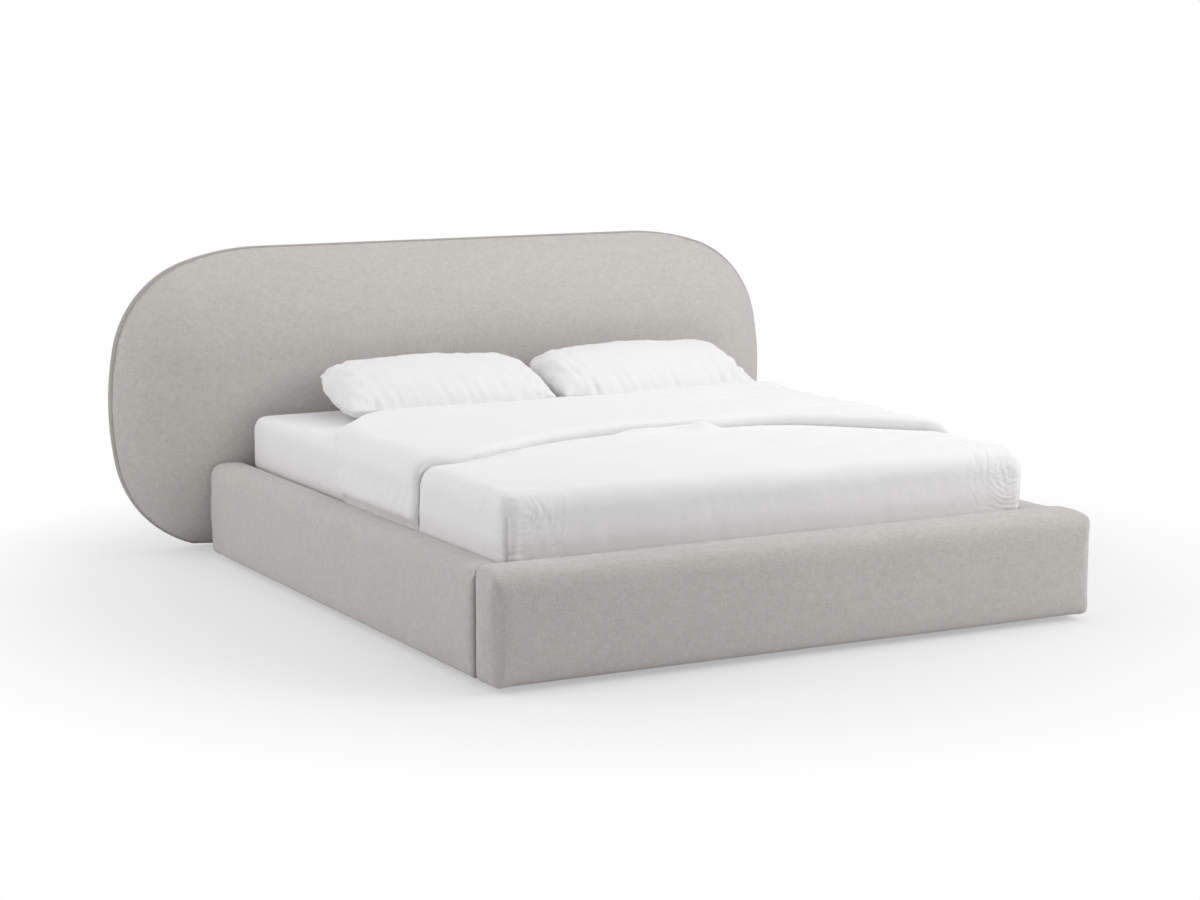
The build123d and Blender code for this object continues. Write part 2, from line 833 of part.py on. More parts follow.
def corner_brackets():
    """Angle brackets in the four inside corners of the frame."""
    low = floor_top
    heights = (low, low + bracket_height)
    leg_start = rail_inner - bracket_leg
    drilled = shanks(corner_bolt_places())
    brackets = []
    for face, inward in ((foot_inner, 1), (head_inner, -1)):
        leg = sorted((face, face + inward * bracket_leg))
        thickness = sorted((face, face + inward * bracket_thickness))
        side_leg = block((rail_inner - bracket_thickness, rail_inner), leg, heights)
        brackets.append(side_leg + block((leg_start, rail_inner), thickness, heights) - drilled)
    return both_sides(group(brackets))


def corner_bolt_places():
    """Bolts of the +X corner brackets: two into each board."""
    middle = floor_top + bracket_height / 2
    half = bracket_height * bolt_spacing_share / 2
    reach = bracket_leg * bolt_spacing_share
    places = []
    for z in (middle - half, middle + half):
        for face, inward in ((foot_inner, 1), (head_inner, -1)):
            side_place = (rail_inner - bracket_thickness, face + inward * reach, z)
            end_place = (rail_inner - reach, face + inward * bracket_thickness, z)
            places.append((side_place, along_x, bolt_length / 2))
            places.append((end_place, (0, -inward, 0), bolt_length / 2))
    return places


def mount_bolt_places():
    """Bolts that hold the headboard's mount blocks to the head board."""
    spread = mattress_width * hanger_spread_share / 2
    middle = underside + head_board_height / 2
    half = hanger_plate_height * bolt_spacing_share / 2
    y = head_inner - hanger_plate_thickness
    return [((x, y, middle + level), along_y, mount_bolt_length)
            for x in (-spread, spread) for level in (-half, half)]


def hanger_plates():
    """Steel plates on the inside of the head board, which spread the load of the headboard bolts."""
    spread = mattress_width * hanger_spread_share / 2
    middle = underside + head_board_height / 2
    heights = (middle - hanger_plate_height / 2, middle + hanger_plate_height / 2)
    plates = [block((x - hanger_plate_width / 2, x + hanger_plate_width / 2),
                    (head_inner - hanger_plate_thickness, head_inner), heights) for x in (-spread, spread)]
    return group([group(plates) - shanks(mount_bolt_places())])


def mattress_form(grow, low):
    """Block of the mattress, grown all round, with its upright corners and top edges rounded."""
    half = mattress_width / 2 + grow
    form = block((-half, half), (mattress_foot - grow, mattress_head + grow), (low, mattress_top + grow))
    form = fillet(form.edges().filter_by(Axis.Z), mattress_corner_radius + grow)
    return fillet(form.faces().sort_by(Axis.Z)[-1].edges(), mattress_edge_radius + grow)


def mattress():
    """Mattress in its fitted sheet, with rounded edges."""
    form = mattress_form(0, mattress_bottom)
    return fillet(form.faces().sort_by(Axis.Z)[0].edges(), mattress_edge_radius)


def duvet_reach():
    """Half the width over the duvet's side drops."""
    return mattress_width / 2 + soft_clearance + duvet_drop_thickness


def duvet_slab(front_edges, top, radius):
    """Solid from the hem to a top, over a plan with the given front edges; the head end is left square."""
    reach = duvet_reach()
    low = tube_top + stop_bar_rise + duvet_hem_gap
    head = mattress_foot + duvet_head
    first = front_edges[0] @ 0
    last = front_edges[-1] @ 1
    left_side = (-reach, mattress_foot + duvet_left_head)
    left_head = (-reach + duvet_left_corner, head)
    plan = make_face(front_edges + [Polyline(last, (reach, head), left_head, left_side, first)])
    form = prism(Pos(0, 0, low) * plan, along_z, top - low)
    lid = form.faces().sort_by(Axis.Z)[-1]
    rims = [edge for edge in lid.edges() if edge.center().Y < mattress_foot + duvet_left_head]
    return fillet(rims, radius)


def duvet():
    """Duvet tucked down at the sides and the foot, with its head end folded back over itself."""
    reach = duvet_reach()
    foot = mattress_foot - soft_clearance - duvet_drop_thickness
    radius = mattress_corner_radius + duvet_drop_thickness
    body_front = [
        CenterArc((-reach + radius, foot + radius), radius, half_turn, quarter_turn),
        Line((-reach + radius, foot), (reach - radius, foot)),
        CenterArc((reach - radius, foot + radius), radius, half_turn + quarter_turn, quarter_turn),
    ]
    fold_front = [ThreePointArc((-reach, mattress_foot + fold_left_front),
                                (0, mattress_foot + fold_middle_front),
                                (reach, mattress_foot + fold_right_front))]
    body_top = mattress_top + soft_clearance + duvet_top_thickness
    body = duvet_slab(body_front, body_top, mattress_edge_radius + duvet_drop_thickness)
    fold = duvet_slab(fold_front, body_top + fold_thickness, fold_edge_radius)
    return body + fold - mattress_form(soft_clearance, mattress_bottom - overrun)


def pillow_lens(depth, thickness):
    """Pillow cross-section: two arcs that meet at the seams."""
    half = depth / 2
    rise = thickness / 2
    return make_face([ThreePointArc((-half, 0), (0, rise), (half, 0)),
                      ThreePointArc((half, 0), (0, -rise), (-half, 0))])


def pillow(centre):
    """Pillow with a crown and drawn-in ends, lying at a slope in front of the headboard."""
    half = pillow_length / 2
    sections = []
    shares = zip(pillow_section_shares, pillow_depth_shares, pillow_rise_shares)
    for place, depth_share, rise_share in shares:
        thickness = pillow_tip_thickness + (pillow_thickness - pillow_tip_thickness) * rise_share
        sections.append(side_view(place * half) * pillow_lens(pillow_depth * depth_share, thickness))
    form = Rot(pillow_tilt, 0, 0) * loft(sections)
    box = form.bounding_box()
    y = mattress_head - pillow_head_gap - box.max.Y
    z = mattress_top + soft_clearance - box.min.Z
    return Pos(centre, y, z) * form


def build_nodes():
    """Every piece of the bed under its node's name."""
    nodes = {
        "headboard_panel": headboard_panel(),
        "headboard_pad": headboard_pad(),
        "headboard_mounts": headboard_mounts(),
        "mount_plates": hanger_plates(),
        "mount_bolts": bolts(mount_bolt_places()),
        "head_board": head_board(),
        "footboard_board": footboard_board(),
        "footboard_pad": footboard_pad(),
        "corner_brackets": corner_brackets(),
        "corner_bolts": both_sides(bolts(corner_bolt_places())),
        "lift_base_bolts": both_sides(bolts(lift_base_bolt_places())),
        "frame_glides": frame_glides(),
        "cross_ledgers": cross_ledgers(),
        "centre_bearer": centre_bearer(),
        "bearer_glides": bearer_glides(),
        "platform_rests": platform_rests(),
        "platform_foot_tube": cross_tube(platform_foot),
        "platform_head_tube": cross_tube(platform_head - tube_width),
        "platform_centre_tube": centre_tube(),
        "slat_holders_centre": centre_slat_holders(),
        "mattress_stop_bar": stop_bar(),
        "pull_loop": pull_loop(),
        "mattress": mattress(),
        "duvet": duvet(),
    }
    for number in range(floor_panel_count):
        nodes[f"floor_panel_{number + 1}"] = floor_panel(number)
    sided = {
        "side_board": side_board(),
        "side_pad": side_pad(),
        "side_ledger": side_ledger(),
        "lift_base": lift_base(),
        "lift_base_pins": base_pins(),
        "main_arm": main_arm(),
        "guide_arm": guide_arm(),
        "strut_cylinder": strut_cylinder(),
        "strut_rod": strut_rod(),
        "lift_plate": lift_plate(),
        "lift_plate_pins": platform_pins(),
        "platform_tube": side_tube(),
        "slat_holders": side_slat_holders(),
    }
    for name, shape in sided.items():
        nodes[f"{name}_right"] = shape
        nodes[f"{name}_left"] = mirrored(shape)
    for name, side in (("left", -1), ("right", 1)):
        nodes[f"slats_{name}"] = slats(side)
    for name, centre in (("left", pillow_left_centre), ("right", pillow_right_centre)):
        nodes[f"pillow_{name}"] = pillow(centre)
    return nodes


def write_parts():
    """One STEP file per node."""
    os.makedirs("parts", exist_ok=True)
    for name, shape in build_nodes().items():
        export_step(shape, f"parts/{name}.step")


if __name__ == "__main__":
    write_parts()
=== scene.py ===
"""Looks of an upholstered storage bed: padded rails, a wide rounded headboard, made-up
bedding, and the slatted platform that lifts to open the storage under the mattress."""

import logging
import math
from collections.abc import Callable, Sequence
from dataclasses import dataclass
from enum import Enum

import bmesh
import bpy
import numpy as np
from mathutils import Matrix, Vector, noise


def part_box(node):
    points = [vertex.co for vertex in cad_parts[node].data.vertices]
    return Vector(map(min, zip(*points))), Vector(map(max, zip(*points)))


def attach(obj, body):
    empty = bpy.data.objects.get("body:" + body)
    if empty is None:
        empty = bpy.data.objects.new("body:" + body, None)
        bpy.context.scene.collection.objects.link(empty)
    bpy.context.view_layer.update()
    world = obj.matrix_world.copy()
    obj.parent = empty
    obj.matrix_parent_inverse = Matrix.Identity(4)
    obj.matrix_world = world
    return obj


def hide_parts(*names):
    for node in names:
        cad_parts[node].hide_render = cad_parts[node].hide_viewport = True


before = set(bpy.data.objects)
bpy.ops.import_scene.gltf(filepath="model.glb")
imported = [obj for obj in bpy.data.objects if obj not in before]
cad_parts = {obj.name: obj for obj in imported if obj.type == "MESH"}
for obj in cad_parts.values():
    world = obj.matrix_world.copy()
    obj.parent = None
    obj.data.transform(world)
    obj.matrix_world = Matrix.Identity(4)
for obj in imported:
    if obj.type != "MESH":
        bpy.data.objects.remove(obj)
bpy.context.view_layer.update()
LOG = logging.getLogger("storage_bed")

Triple = tuple[float, float, float]
Colour = Triple
Band = tuple[float, float]
Spread = tuple[float, float]
Axes = tuple[Triple, Triple, Triple]
Number = "Wire | float"
Field = Callable[[np.ndarray, np.ndarray], np.ndarray]

EVEN: Triple = (1.0, 1.0, 1.0)
UNTURNED: Triple = (0.0, 0.0, 0.0)
WHITE = (1.0, 1.0, 1.0, 1.0)
TINY = 1e-9


# Shader sums


class Wire:
    """Output of a shader node, which Python's operators can do sums with."""

    def __init__(self, graph: "Graph", node: bpy.types.Node, output: int | str) -> None:
        """Keeps the graph, the node and which output it is.

        Args:
            graph: graph that the node belongs to.
            node: the node.
            output: name or place of its output.
        """
        self.graph = graph
        self.node = node
        self.output = output

    @property
    def socket(self) -> bpy.types.NodeSocket:
        """Socket of the output."""
        return self.node.outputs[self.output]

    def __add__(self, other: Number) -> "Wire":
        """Sum."""
        return self.graph.maths("ADD", self, other)

    def __sub__(self, other: Number) -> "Wire":
        """Difference."""
        return self.graph.maths("SUBTRACT", self, other)

    def __rsub__(self, other: Number) -> "Wire":
        """Difference from a number."""
        return self.graph.maths("SUBTRACT", other, self)

    def __mul__(self, other: Number) -> "Wire":
        """Product."""
        return self.graph.maths("MULTIPLY", self, other)

    __radd__ = __add__
    __rmul__ = __mul__


class Graph:
    """Node tree whose nodes are all added by one method."""

    def __init__(self, tree: bpy.types.NodeTree) -> None:
        """Empties the tree."""
        self.tree = tree
        self.tree.nodes.clear()

    def node(self, kind: str, settings: dict, inputs: dict, output: int | str = 0) -> Wire:
        """Adds one node.

        Args:
            kind: Blender's type of the node.
            settings: properties, set first.
            inputs: values or wires for its sockets, by name or place.
            output: which output is returned.

        Returns:
            The chosen output.
        """
        made = self.tree.nodes.new(kind)
        for key, value in settings.items():
            setattr(made, key, value)
        for key, value in inputs.items():
            self.feed(made.inputs[key], value)
        return Wire(self, made, output)

    def feed(self, socket: bpy.types.NodeSocket, value: object) -> None:
        """Links a wire to a socket, or sets the socket's own value.

        Args:
            socket: input of a node.
            value: wire or plain value.
        """
        if isinstance(value, Wire):
            self.tree.links.new(value.socket, socket)
        else:
            socket.default_value = value

    def maths(self, operation: str, *values: Number) -> Wire:
        """Adds a Math node for one sum."""
        return self.node("ShaderNodeMath", {"operation": operation}, dict(enumerate(values)))

    def place(self, stretch: Triple = EVEN, turn: Triple = UNTURNED) -> Wire:
        """Place on the object, stretched along its axes and turned by radians."""
        spot = self.node("ShaderNodeTexCoord", {}, {}, "Object")
        return self.node("ShaderNodeMapping", {}, {"Vector": spot, "Scale": stretch, "Rotation": turn})

    def noise(self, scale: float, detail: float = 3.0, stretch: Triple = EVEN,
              turn: Triple = UNTURNED, roughness: float = 0.55) -> Wire:
        """Noise over the piece, from 0 to 1.

        Args:
            scale: waves in a metre.
            detail: how many finer layers are added.
            stretch: further scale along each axis.
            turn: turn round each axis, in radians.
            roughness: how strong the finer layers are.

        Returns:
            The noise.
        """
        where = self.place(stretch, turn)
        values = {"Vector": where, "Scale": scale, "Detail": detail, "Roughness": roughness}
        return self.node("ShaderNodeTexNoise", {}, values)

    def ramp(self, value: Wire, low: float = 0.3, high: float = 0.7) -> Wire:
        """Value stretched so that low becomes 0 and high 1, and held beyond them."""
        return self.node("ShaderNodeMapRange", {"interpolation_type": "SMOOTHSTEP"},
                         {"Value": value, "From Min": low, "From Max": high})

    @staticmethod
    def spread(values: Spread, wire: Wire) -> Wire:
        """First value where the wire is 0, with the second one added where it is 1."""
        return values[0] + values[1] * wire

    def mix(self, share: Number, first: object, second: object) -> Wire:
        """Blend of two colours."""
        inputs = {0: share, 6: first, 7: second}
        return self.node("ShaderNodeMix", {"data_type": "RGBA", "blend_type": "MIX"}, inputs, 2)

    def bump(self, height: Wire, distance: float, strength: float = 1.0, under: Wire | None = None) -> Wire:
        """Bump of a height.

        Args:
            height: height from 0 to 1.
            distance: what a height of 1 stands for, in metres.
            strength: how much of it shows.
            under: another bump that this one lies on.

        Returns:
            The bumped normal.
        """
        values = {"Height": height, "Distance": distance, "Strength": strength}
        if under is not None:
            values["Normal"] = under
        return self.node("ShaderNodeBump", {}, values)


class Surface(Graph):
    """Node tree of one material, with its Principled shader."""

    def __init__(self, name: str) -> None:
        """Starts a material.

        Args:
            name: name of the material.
        """
        self.material = bpy.data.materials.new(name)
        self.material.use_nodes = True
        super().__init__(self.material.node_tree)
        self.shader = self.node("ShaderNodeBsdfPrincipled", {}, {})
        self.end = self.node("ShaderNodeOutputMaterial", {}, {"Surface": self.shader})

    def show(self, shader: Wire) -> None:
        """Shows another shader in place of the Principled one."""
        self.feed(self.end.node.inputs["Surface"], shader)

    def dress(self, colour: Wire, roughness: Number, normal: Wire, **constants: object) -> bpy.types.Material:
        """Feeds the shader and returns its material.

        Args:
            colour: base colour.
            roughness: roughness.
            normal: bumped normal.
            constants: other sockets' values, with underscores for spaces.

        Returns:
            The finished material.
        """
        values = {"Base Color": colour, "Roughness": roughness, "Normal": normal}
        values.update({key.replace("_", " "): value for key, value in constants.items()})
        for key, value in values.items():
            self.feed(self.shader.node.inputs[key], value)
        return self.material


def rgba(colour: Colour, level: float = 1.0) -> tuple[float, float, float, float]:
    """Colour with its level changed, and full alpha."""
    return (colour[0] * level, colour[1] * level, colour[2] * level, 1.0)


# Finishes


@dataclass(frozen=True)
class Chenille:
    """Soft grey upholstery with fine crossed threads and a mottled nap.

    The threads' sizes are waves in a metre, and matt is a roughness with what the nap adds to it.
    """

    name: str
    colour: Colour
    mottle: float = 0.055
    cloud_share: float = 0.3
    thread: float = 0.13
    speck_share: float = 0.45
    lightest: float = 1.22
    waves_along: float = 42.0
    waves_across: float = 260.0
    nap_depth: float = 0.0004
    thread_depth: float = 0.0009
    speck_rise: float = 0.7
    matt: Spread = (0.86, 0.10)

    def material(self) -> bpy.types.Material:
        """Builds the material.

        Returns:
            The material.
        """
        g = Surface(self.name)
        cloud = g.ramp(g.noise(scale=7.0))
        nap = g.ramp(g.noise(scale=38.0, detail=6.0, roughness=0.75), low=0.32, high=0.68)
        speck = g.ramp(g.noise(scale=170.0, detail=2.0, roughness=0.7))
        along, across = self.waves_along, self.waves_across
        weft = g.ramp(g.noise(scale=1.0, stretch=(along, along, across)))
        warp = g.ramp(g.noise(scale=1.0, stretch=(across, across, along)))
        threads = (weft + warp) * 0.5
        shade = 1.0 - self.mottle * self.cloud_share * cloud - self.mottle * nap
        shade = shade - self.thread * threads - self.thread * self.speck_share * speck
        colour = g.mix(shade, rgba(self.colour, 0.0), rgba(self.colour, self.lightest))
        wave = g.bump(nap, self.nap_depth, strength=0.4)
        normal = g.bump(threads + speck * self.speck_rise, self.thread_depth, strength=0.7, under=wave)
        return g.dress(colour, g.spread(self.matt, nap), normal, Sheen_Weight=0.35, Sheen_Roughness=0.45,
                       Specular_IOR_Level=0.25)


@dataclass(frozen=True)
class Cotton:
    """White bed linen with a fine weave, in waves in a metre, and small soft creases."""

    name: str
    colour: Colour
    crease: float
    darkest: float = 0.985
    fold_depth: float = 0.0022
    fine_depth: float = 0.0007
    weave_depth: float = 0.0002
    threads: Triple = (900.0, 900.0, 900.0)
    matt: Spread = (0.8, 0.1)

    def material(self) -> bpy.types.Material:
        """Builds the material.

        Returns:
            The material.
        """
        g = Surface(self.name)
        soft = g.noise(scale=6.0)
        fold = g.ramp(g.noise(scale=16.0, detail=4.0, turn=(0.2, 0.1, 0.5)), low=0.25, high=0.75)
        fine = g.noise(scale=60.0, detail=4.0, turn=(0.0, 0.0, 0.6))
        weave = g.noise(scale=1.0, detail=2.0, stretch=self.threads)
        shade = g.ramp(soft, low=0.25, high=0.75)
        colour = g.mix(shade, rgba(self.colour, self.darkest), rgba(self.colour))
        base = g.bump(fold, self.fold_depth * self.crease, strength=0.5)
        middle = g.bump(fine, self.fine_depth * self.crease, strength=0.5, under=base)
        normal = g.bump(weave, self.weave_depth, strength=0.35, under=middle)
        return g.dress(colour, g.spread(self.matt, fine), normal, Sheen_Weight=0.12, Sheen_Roughness=0.5,
                       Specular_IOR_Level=0.2)


@dataclass(frozen=True)
class Timber:
    """Wood with its grain along one axis."""

    name: str
    pale: Colour
    dark: Colour
    along: Triple
    roughness: float = 0.5
    coat: float = 0.0
    ring_roughness: float = 0.12
    ring_share: float = 0.7
    ring_rise: float = 0.4
    pore_share: float = 0.35
    pore_level: float = 0.6
    grain_depth: float = 0.0004

    def material(self) -> bpy.types.Material:
        """Builds the material.

        Returns:
            The material.
        """
        g = Surface(self.name)
        wander = g.noise(scale=3.0, stretch=self.along)
        layers = g.noise(scale=34.0, detail=5.0, stretch=self.along, roughness=0.65)
        rings = g.ramp(layers, low=0.3, high=0.72)
        pore = g.ramp(g.noise(scale=150.0, stretch=self.along), low=0.52, high=0.8)
        tone = rings * self.ring_share + wander * (1.0 - self.ring_share)
        wood = g.mix(tone, rgba(self.pale), rgba(self.dark))
        colour = g.mix(pore * self.pore_share, wood, rgba(self.dark, self.pore_level))
        normal = g.bump(pore + rings * self.ring_rise, self.grain_depth, strength=0.4)
        matt = g.spread((self.roughness, self.ring_roughness), rings)
        return g.dress(colour, matt, normal, Coat_Weight=self.coat, Coat_Roughness=0.2)


@dataclass(frozen=True)
class Metal:
    """Painted, plated or polished steel."""

    name: str
    colour: Colour
    metallic: float
    roughness: float
    grain: Triple = EVEN
    speck: float = 0.08
    darkest: float = 0.55
    orange_peel: float = 0.00012
    cloud_roughness: float = 0.1

    def material(self) -> bpy.types.Material:
        """Builds the material.

        Returns:
            The material.
        """
        g = Surface(self.name)
        cloud = g.ramp(g.noise(scale=14.0, detail=4.0, stretch=self.grain))
        fine = g.noise(scale=420.0, stretch=self.grain)
        specks = cloud * self.speck + fine * self.speck
        colour = g.mix(specks, rgba(self.colour), rgba(self.colour, self.darkest))
        normal = g.bump(fine, self.orange_peel, strength=0.4)
        matt = g.spread((self.roughness, self.cloud_roughness), cloud)
        return g.dress(colour, matt, normal, Metallic=self.metallic)


@dataclass(frozen=True)
class Moulding:
    """Grained black plastic."""

    name: str
    colour: Colour
    levels: Band = (0.85, 1.25)
    grain_depth: float = 0.0002
    matt: Spread = (0.42, 0.18)

    def material(self) -> bpy.types.Material:
        """Builds the material.

        Returns:
            The material.
        """
        g = Surface(self.name)
        grain = g.noise(scale=700.0, detail=2.0)
        cloud = g.noise(scale=20.0)
        colour = g.mix(cloud, rgba(self.colour, self.levels[0]), rgba(self.colour, self.levels[1]))
        return g.dress(colour, g.spread(self.matt, grain), g.bump(grain, self.grain_depth, strength=0.5))


@dataclass(frozen=True)
class Webbing:
    """Woven black webbing with ribs, whose sizes are waves in a metre."""

    name: str
    colour: Colour
    levels: Band = (0.6, 1.6)
    waves_along: float = 260.0
    waves_across: float = 900.0
    rib_depth: float = 0.0006
    matt: Spread = (0.7, 0.2)

    def material(self) -> bpy.types.Material:
        """Builds the material.

        Returns:
            The material.
        """
        g = Surface(self.name)
        along, across = self.waves_along, self.waves_across
        ribs = g.noise(scale=1.0, detail=1.0, stretch=(across, across, along))
        cross = g.noise(scale=1.0, detail=1.0, stretch=(along, along, across))
        both = (ribs + cross) * 0.5
        colour = g.mix(both, rgba(self.colour, self.levels[0]), rgba(self.colour, self.levels[1]))
        normal = g.bump(both, self.rib_depth, strength=0.8)
        return g.dress(colour, g.spread(self.matt, both), normal, Sheen_Weight=0.3)


class Palette(Enum):
    """Every finish of the bed."""

    UPHOLSTERY = Chenille("chenille_grey", (0.520, 0.496, 0.476))
    # Darker copy of the upholstery chenille: its colour paints the shade that falls along the seam round the
    # headboard pad.
    SHADE_PAINTED_BAND = Chenille("chenille_band_painted_shade", (0.37, 0.355, 0.33), mottle=0.08)
    SHEET = Cotton("fitted_sheet_cotton", (0.885, 0.878, 0.882), 0.7)
    DUVET = Cotton("duvet_cotton", (0.9, 0.893, 0.897), 1.0)
    PILLOW = Cotton("pillow_cotton", (0.862, 0.856, 0.859), 0.8)
    BOARD = Timber("pine_board", (0.55, 0.42, 0.27), (0.40, 0.28, 0.16), (9.0, 0.5, 9.0))
    CROSS_BOARD = Timber("pine_cross_board", (0.55, 0.42, 0.27), (0.40, 0.28, 0.16), (0.5, 9.0, 9.0))
    BATTEN = Timber("planed_batten", (0.60, 0.47, 0.31), (0.46, 0.34, 0.2), (7.0, 0.6, 7.0))
    CROSS_BATTEN = Timber("planed_cross_batten", (0.60, 0.47, 0.31), (0.46, 0.34, 0.2), (0.6, 7.0, 7.0))
    FLOOR_BOARD = Timber("pale_floor_board", (0.66, 0.61, 0.54), (0.58, 0.53, 0.46), (0.8, 5.0, 5.0), 0.4)
    SLAT = Timber("birch_slat", (0.68, 0.52, 0.33), (0.56, 0.40, 0.23), (0.5, 10.0, 10.0), 0.35, 0.3)
    FRAME_STEEL = Metal("satin_black_steel", (0.035, 0.035, 0.037), 0.0, 0.38)
    LIFT_STEEL = Metal("graphite_lift_steel", (0.06, 0.06, 0.063), 0.2, 0.36)
    ZINC = Metal("zinc_plate", (0.62, 0.63, 0.65), 1.0, 0.34, (3.0, 1.0, 3.0), 0.2)
    STRUT_BODY = Metal("gloss_black_cylinder", (0.02, 0.02, 0.021), 0.0, 0.16)
    STRUT_ROD = Metal("polished_rod", (0.78, 0.78, 0.79), 1.0, 0.08, (1.0, 6.0, 6.0), 0.05)
    PLASTIC = Moulding("black_plastic", (0.03, 0.03, 0.031))
    WEBBING = Webbing("black_webbing", (0.04, 0.04, 0.043))


class Wardrobe:
    """Materials made so far, each built once."""

    def __init__(self) -> None:
        """Starts with none made."""
        self.made: dict[Palette, bpy.types.Material] = {}

    def get(self, finish: Palette) -> bpy.types.Material:
        """Material of a finish, built when it is first asked for.

        Args:
            finish: the finish.

        Returns:
            Its material.
        """
        if finish not in self.made:
            self.made[finish] = finish.value.material()
        return self.made[finish]


WARDROBE = Wardrobe()


# Mesh helpers

MERGE_REACH = 0.00002


def smooth(band: Band, value: np.ndarray) -> np.ndarray:
    """Smooth step, from 0 at the band's first end to 1 at its second."""
    share = np.clip((value - band[0]) / (band[1] - band[0]), 0.0, 1.0)
    return share * share * (3.0 - 2.0 * share)


def ridge(value: np.ndarray, centre: np.ndarray | float, width: float) -> np.ndarray:
    """Bell-shaped rise, 1 at its centre."""
    return np.exp(-(((value - centre) / width) ** 2))


def waves(points: np.ndarray, size: float = 1.0, seed: float = 0.0) -> np.ndarray:
    """Soft noise from -1 to 1 at each point.

    Args:
        points: places, one row each.
        size: length of a wave, in metres.
        seed: shifts the pattern.

    Returns:
        One value for each point.
    """
    scaled = points / size + seed
    return np.array([noise.noise(Vector(row)) for row in scaled])


@dataclass(frozen=True)
class Creases:
    """One family of soft creases, whose pattern may be stretched and leant.

    Each row of the axes says how far a step along X, Y and Z moves on through the pattern.
    """

    size: float
    height: float
    seed: float = 0.0
    axes: Axes = ((1.0, 0.0, 0.0), (0.0, 1.0, 0.0), (0.0, 0.0, 1.0))

    def at(self, places: np.ndarray, shift: float = 0.0) -> np.ndarray:
        """Height at each place, with the pattern shifted further."""
        return waves(places @ np.array(self.axes).T, self.size, self.seed + shift) * self.height


def coordinates(mesh: bpy.types.Mesh) -> np.ndarray:
    """Places of a mesh's vertices.

    Args:
        mesh: the mesh.

    Returns:
        The places, one row each.
    """
    flat = np.zeros(len(mesh.vertices) * 3, np.float32)
    mesh.vertices.foreach_get("co", flat)
    return flat.reshape(-1, 3).astype(float)


def put_coordinates(mesh: bpy.types.Mesh, places: np.ndarray) -> None:
    """Writes the places of a mesh's vertices."""
    mesh.vertices.foreach_set("co", places.astype(np.float32).ravel())
    mesh.update()


def normals(mesh: bpy.types.Mesh) -> np.ndarray:
    """Normals at a mesh's vertices.

    Args:
        mesh: the mesh.

    Returns:
        The normals, one row each.
    """
    flat = np.zeros(len(mesh.vertices) * 3, np.float32)
    mesh.vertex_normals.foreach_get("vector", flat)
    return flat.reshape(-1, 3).astype(float)


def new_object(name: str, bm: bmesh.types.BMesh, round_faces: bool = True) -> bpy.types.Object:
    """Object from a bmesh, which is freed.

    Args:
        name: name of the piece.
        bm: its mesh.
        round_faces: whether its faces are shaded smooth.

    Returns:
        The object, linked to the scene.
    """
    mesh = bpy.data.meshes.new(name)
    bm.to_mesh(mesh)
    bm.free()
    if round_faces:
        mesh.shade_smooth()
    made = bpy.data.objects.new(name, mesh)
    bpy.context.scene.collection.objects.link(made)
    return made


def node_copy(name: str, node: str) -> bpy.types.Object:
    """Copy of a CAD node's mesh with its loose triangles joined.

    Args:
        name: name of the new piece.
        node: CAD node.

    Returns:
        The copy.
    """
    bm = bmesh.new()
    bm.from_mesh(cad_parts[node].data)
    bmesh.ops.remove_doubles(bm, verts=bm.verts, dist=MERGE_REACH)
    return new_object(name, bm)


def apply_modifiers(piece: bpy.types.Object) -> None:
    """Replaces a piece's mesh by what its modifiers make of it.

    Args:
        piece: the piece, which has no modifiers afterwards.
    """
    depsgraph = bpy.context.evaluated_depsgraph_get()
    mesh = bpy.data.meshes.new_from_object(piece.evaluated_get(depsgraph))
    piece.modifiers.clear()
    piece.data = mesh
    mesh.shade_smooth()


def remesh(piece: bpy.types.Object, voxel: float, rounds: int) -> None:
    """Even mesh of a closed form, with a few rounds of smoothing.

    Args:
        piece: closed piece.
        voxel: size of a face.
        rounds: rounds of smoothing.
    """
    modifier = piece.modifiers.new("Even", "REMESH")
    modifier.mode = "VOXEL"
    modifier.voxel_size = voxel
    apply_modifiers(piece)
    bm = bmesh.new()
    bm.from_mesh(piece.data)
    for _ in range(rounds):
        bmesh.ops.smooth_vert(bm, verts=bm.verts, factor=0.5,
                              use_axis_x=True, use_axis_y=True, use_axis_z=True)
    bm.to_mesh(piece.data)
    bm.free()


@dataclass(frozen=True)
class Air:
    """How a closed cover is blown out: its pressure, and the furthest that a point may move."""

    pressure: float
    cap: float
    frames: int = 16
    stiffness: float = 15.0
    bending: float = 0.5
    quality: int = 4


def swell(piece: bpy.types.Object, air: Air) -> None:
    """Blows a closed cover out with Blender's cloth, and holds each point near its start.

    Args:
        piece: closed piece without modifiers.
        air: how it is blown out.
    """
    start = coordinates(piece.data)
    modifier = piece.modifiers.new("Swell", "CLOTH")
    cloth = modifier.settings
    cloth.quality = air.quality
    cloth.use_pressure = True
    cloth.uniform_pressure_force = air.pressure
    cloth.effector_weights.gravity = 0.0
    cloth.tension_stiffness = air.stiffness
    cloth.compression_stiffness = air.stiffness
    cloth.bending_stiffness = air.bending
    modifier.collision_settings.use_collision = False
    scene = bpy.context.scene
    modifier.point_cache.frame_start = 1
    modifier.point_cache.frame_end = air.frames
    for number in range(1, air.frames + 1):
        scene.frame_set(number)
    blown = piece.evaluated_get(bpy.context.evaluated_depsgraph_get())
    moved = coordinates(blown.data) - start
    piece.modifiers.clear()
    scene.frame_set(1)
    length = np.linalg.norm(moved, axis=1)
    share = np.minimum(1.0, air.cap / np.maximum(length, TINY))
    put_coordinates(piece.data, start + moved * share[:, None])


def shape_surface(piece: bpy.types.Object, height: Callable[[np.ndarray], np.ndarray]) -> None:
    """Moves each vertex along its normal by a height that depends on its place."""
    places = coordinates(piece.data)
    put_coordinates(piece.data, places + normals(piece.data) * height(places)[:, None])


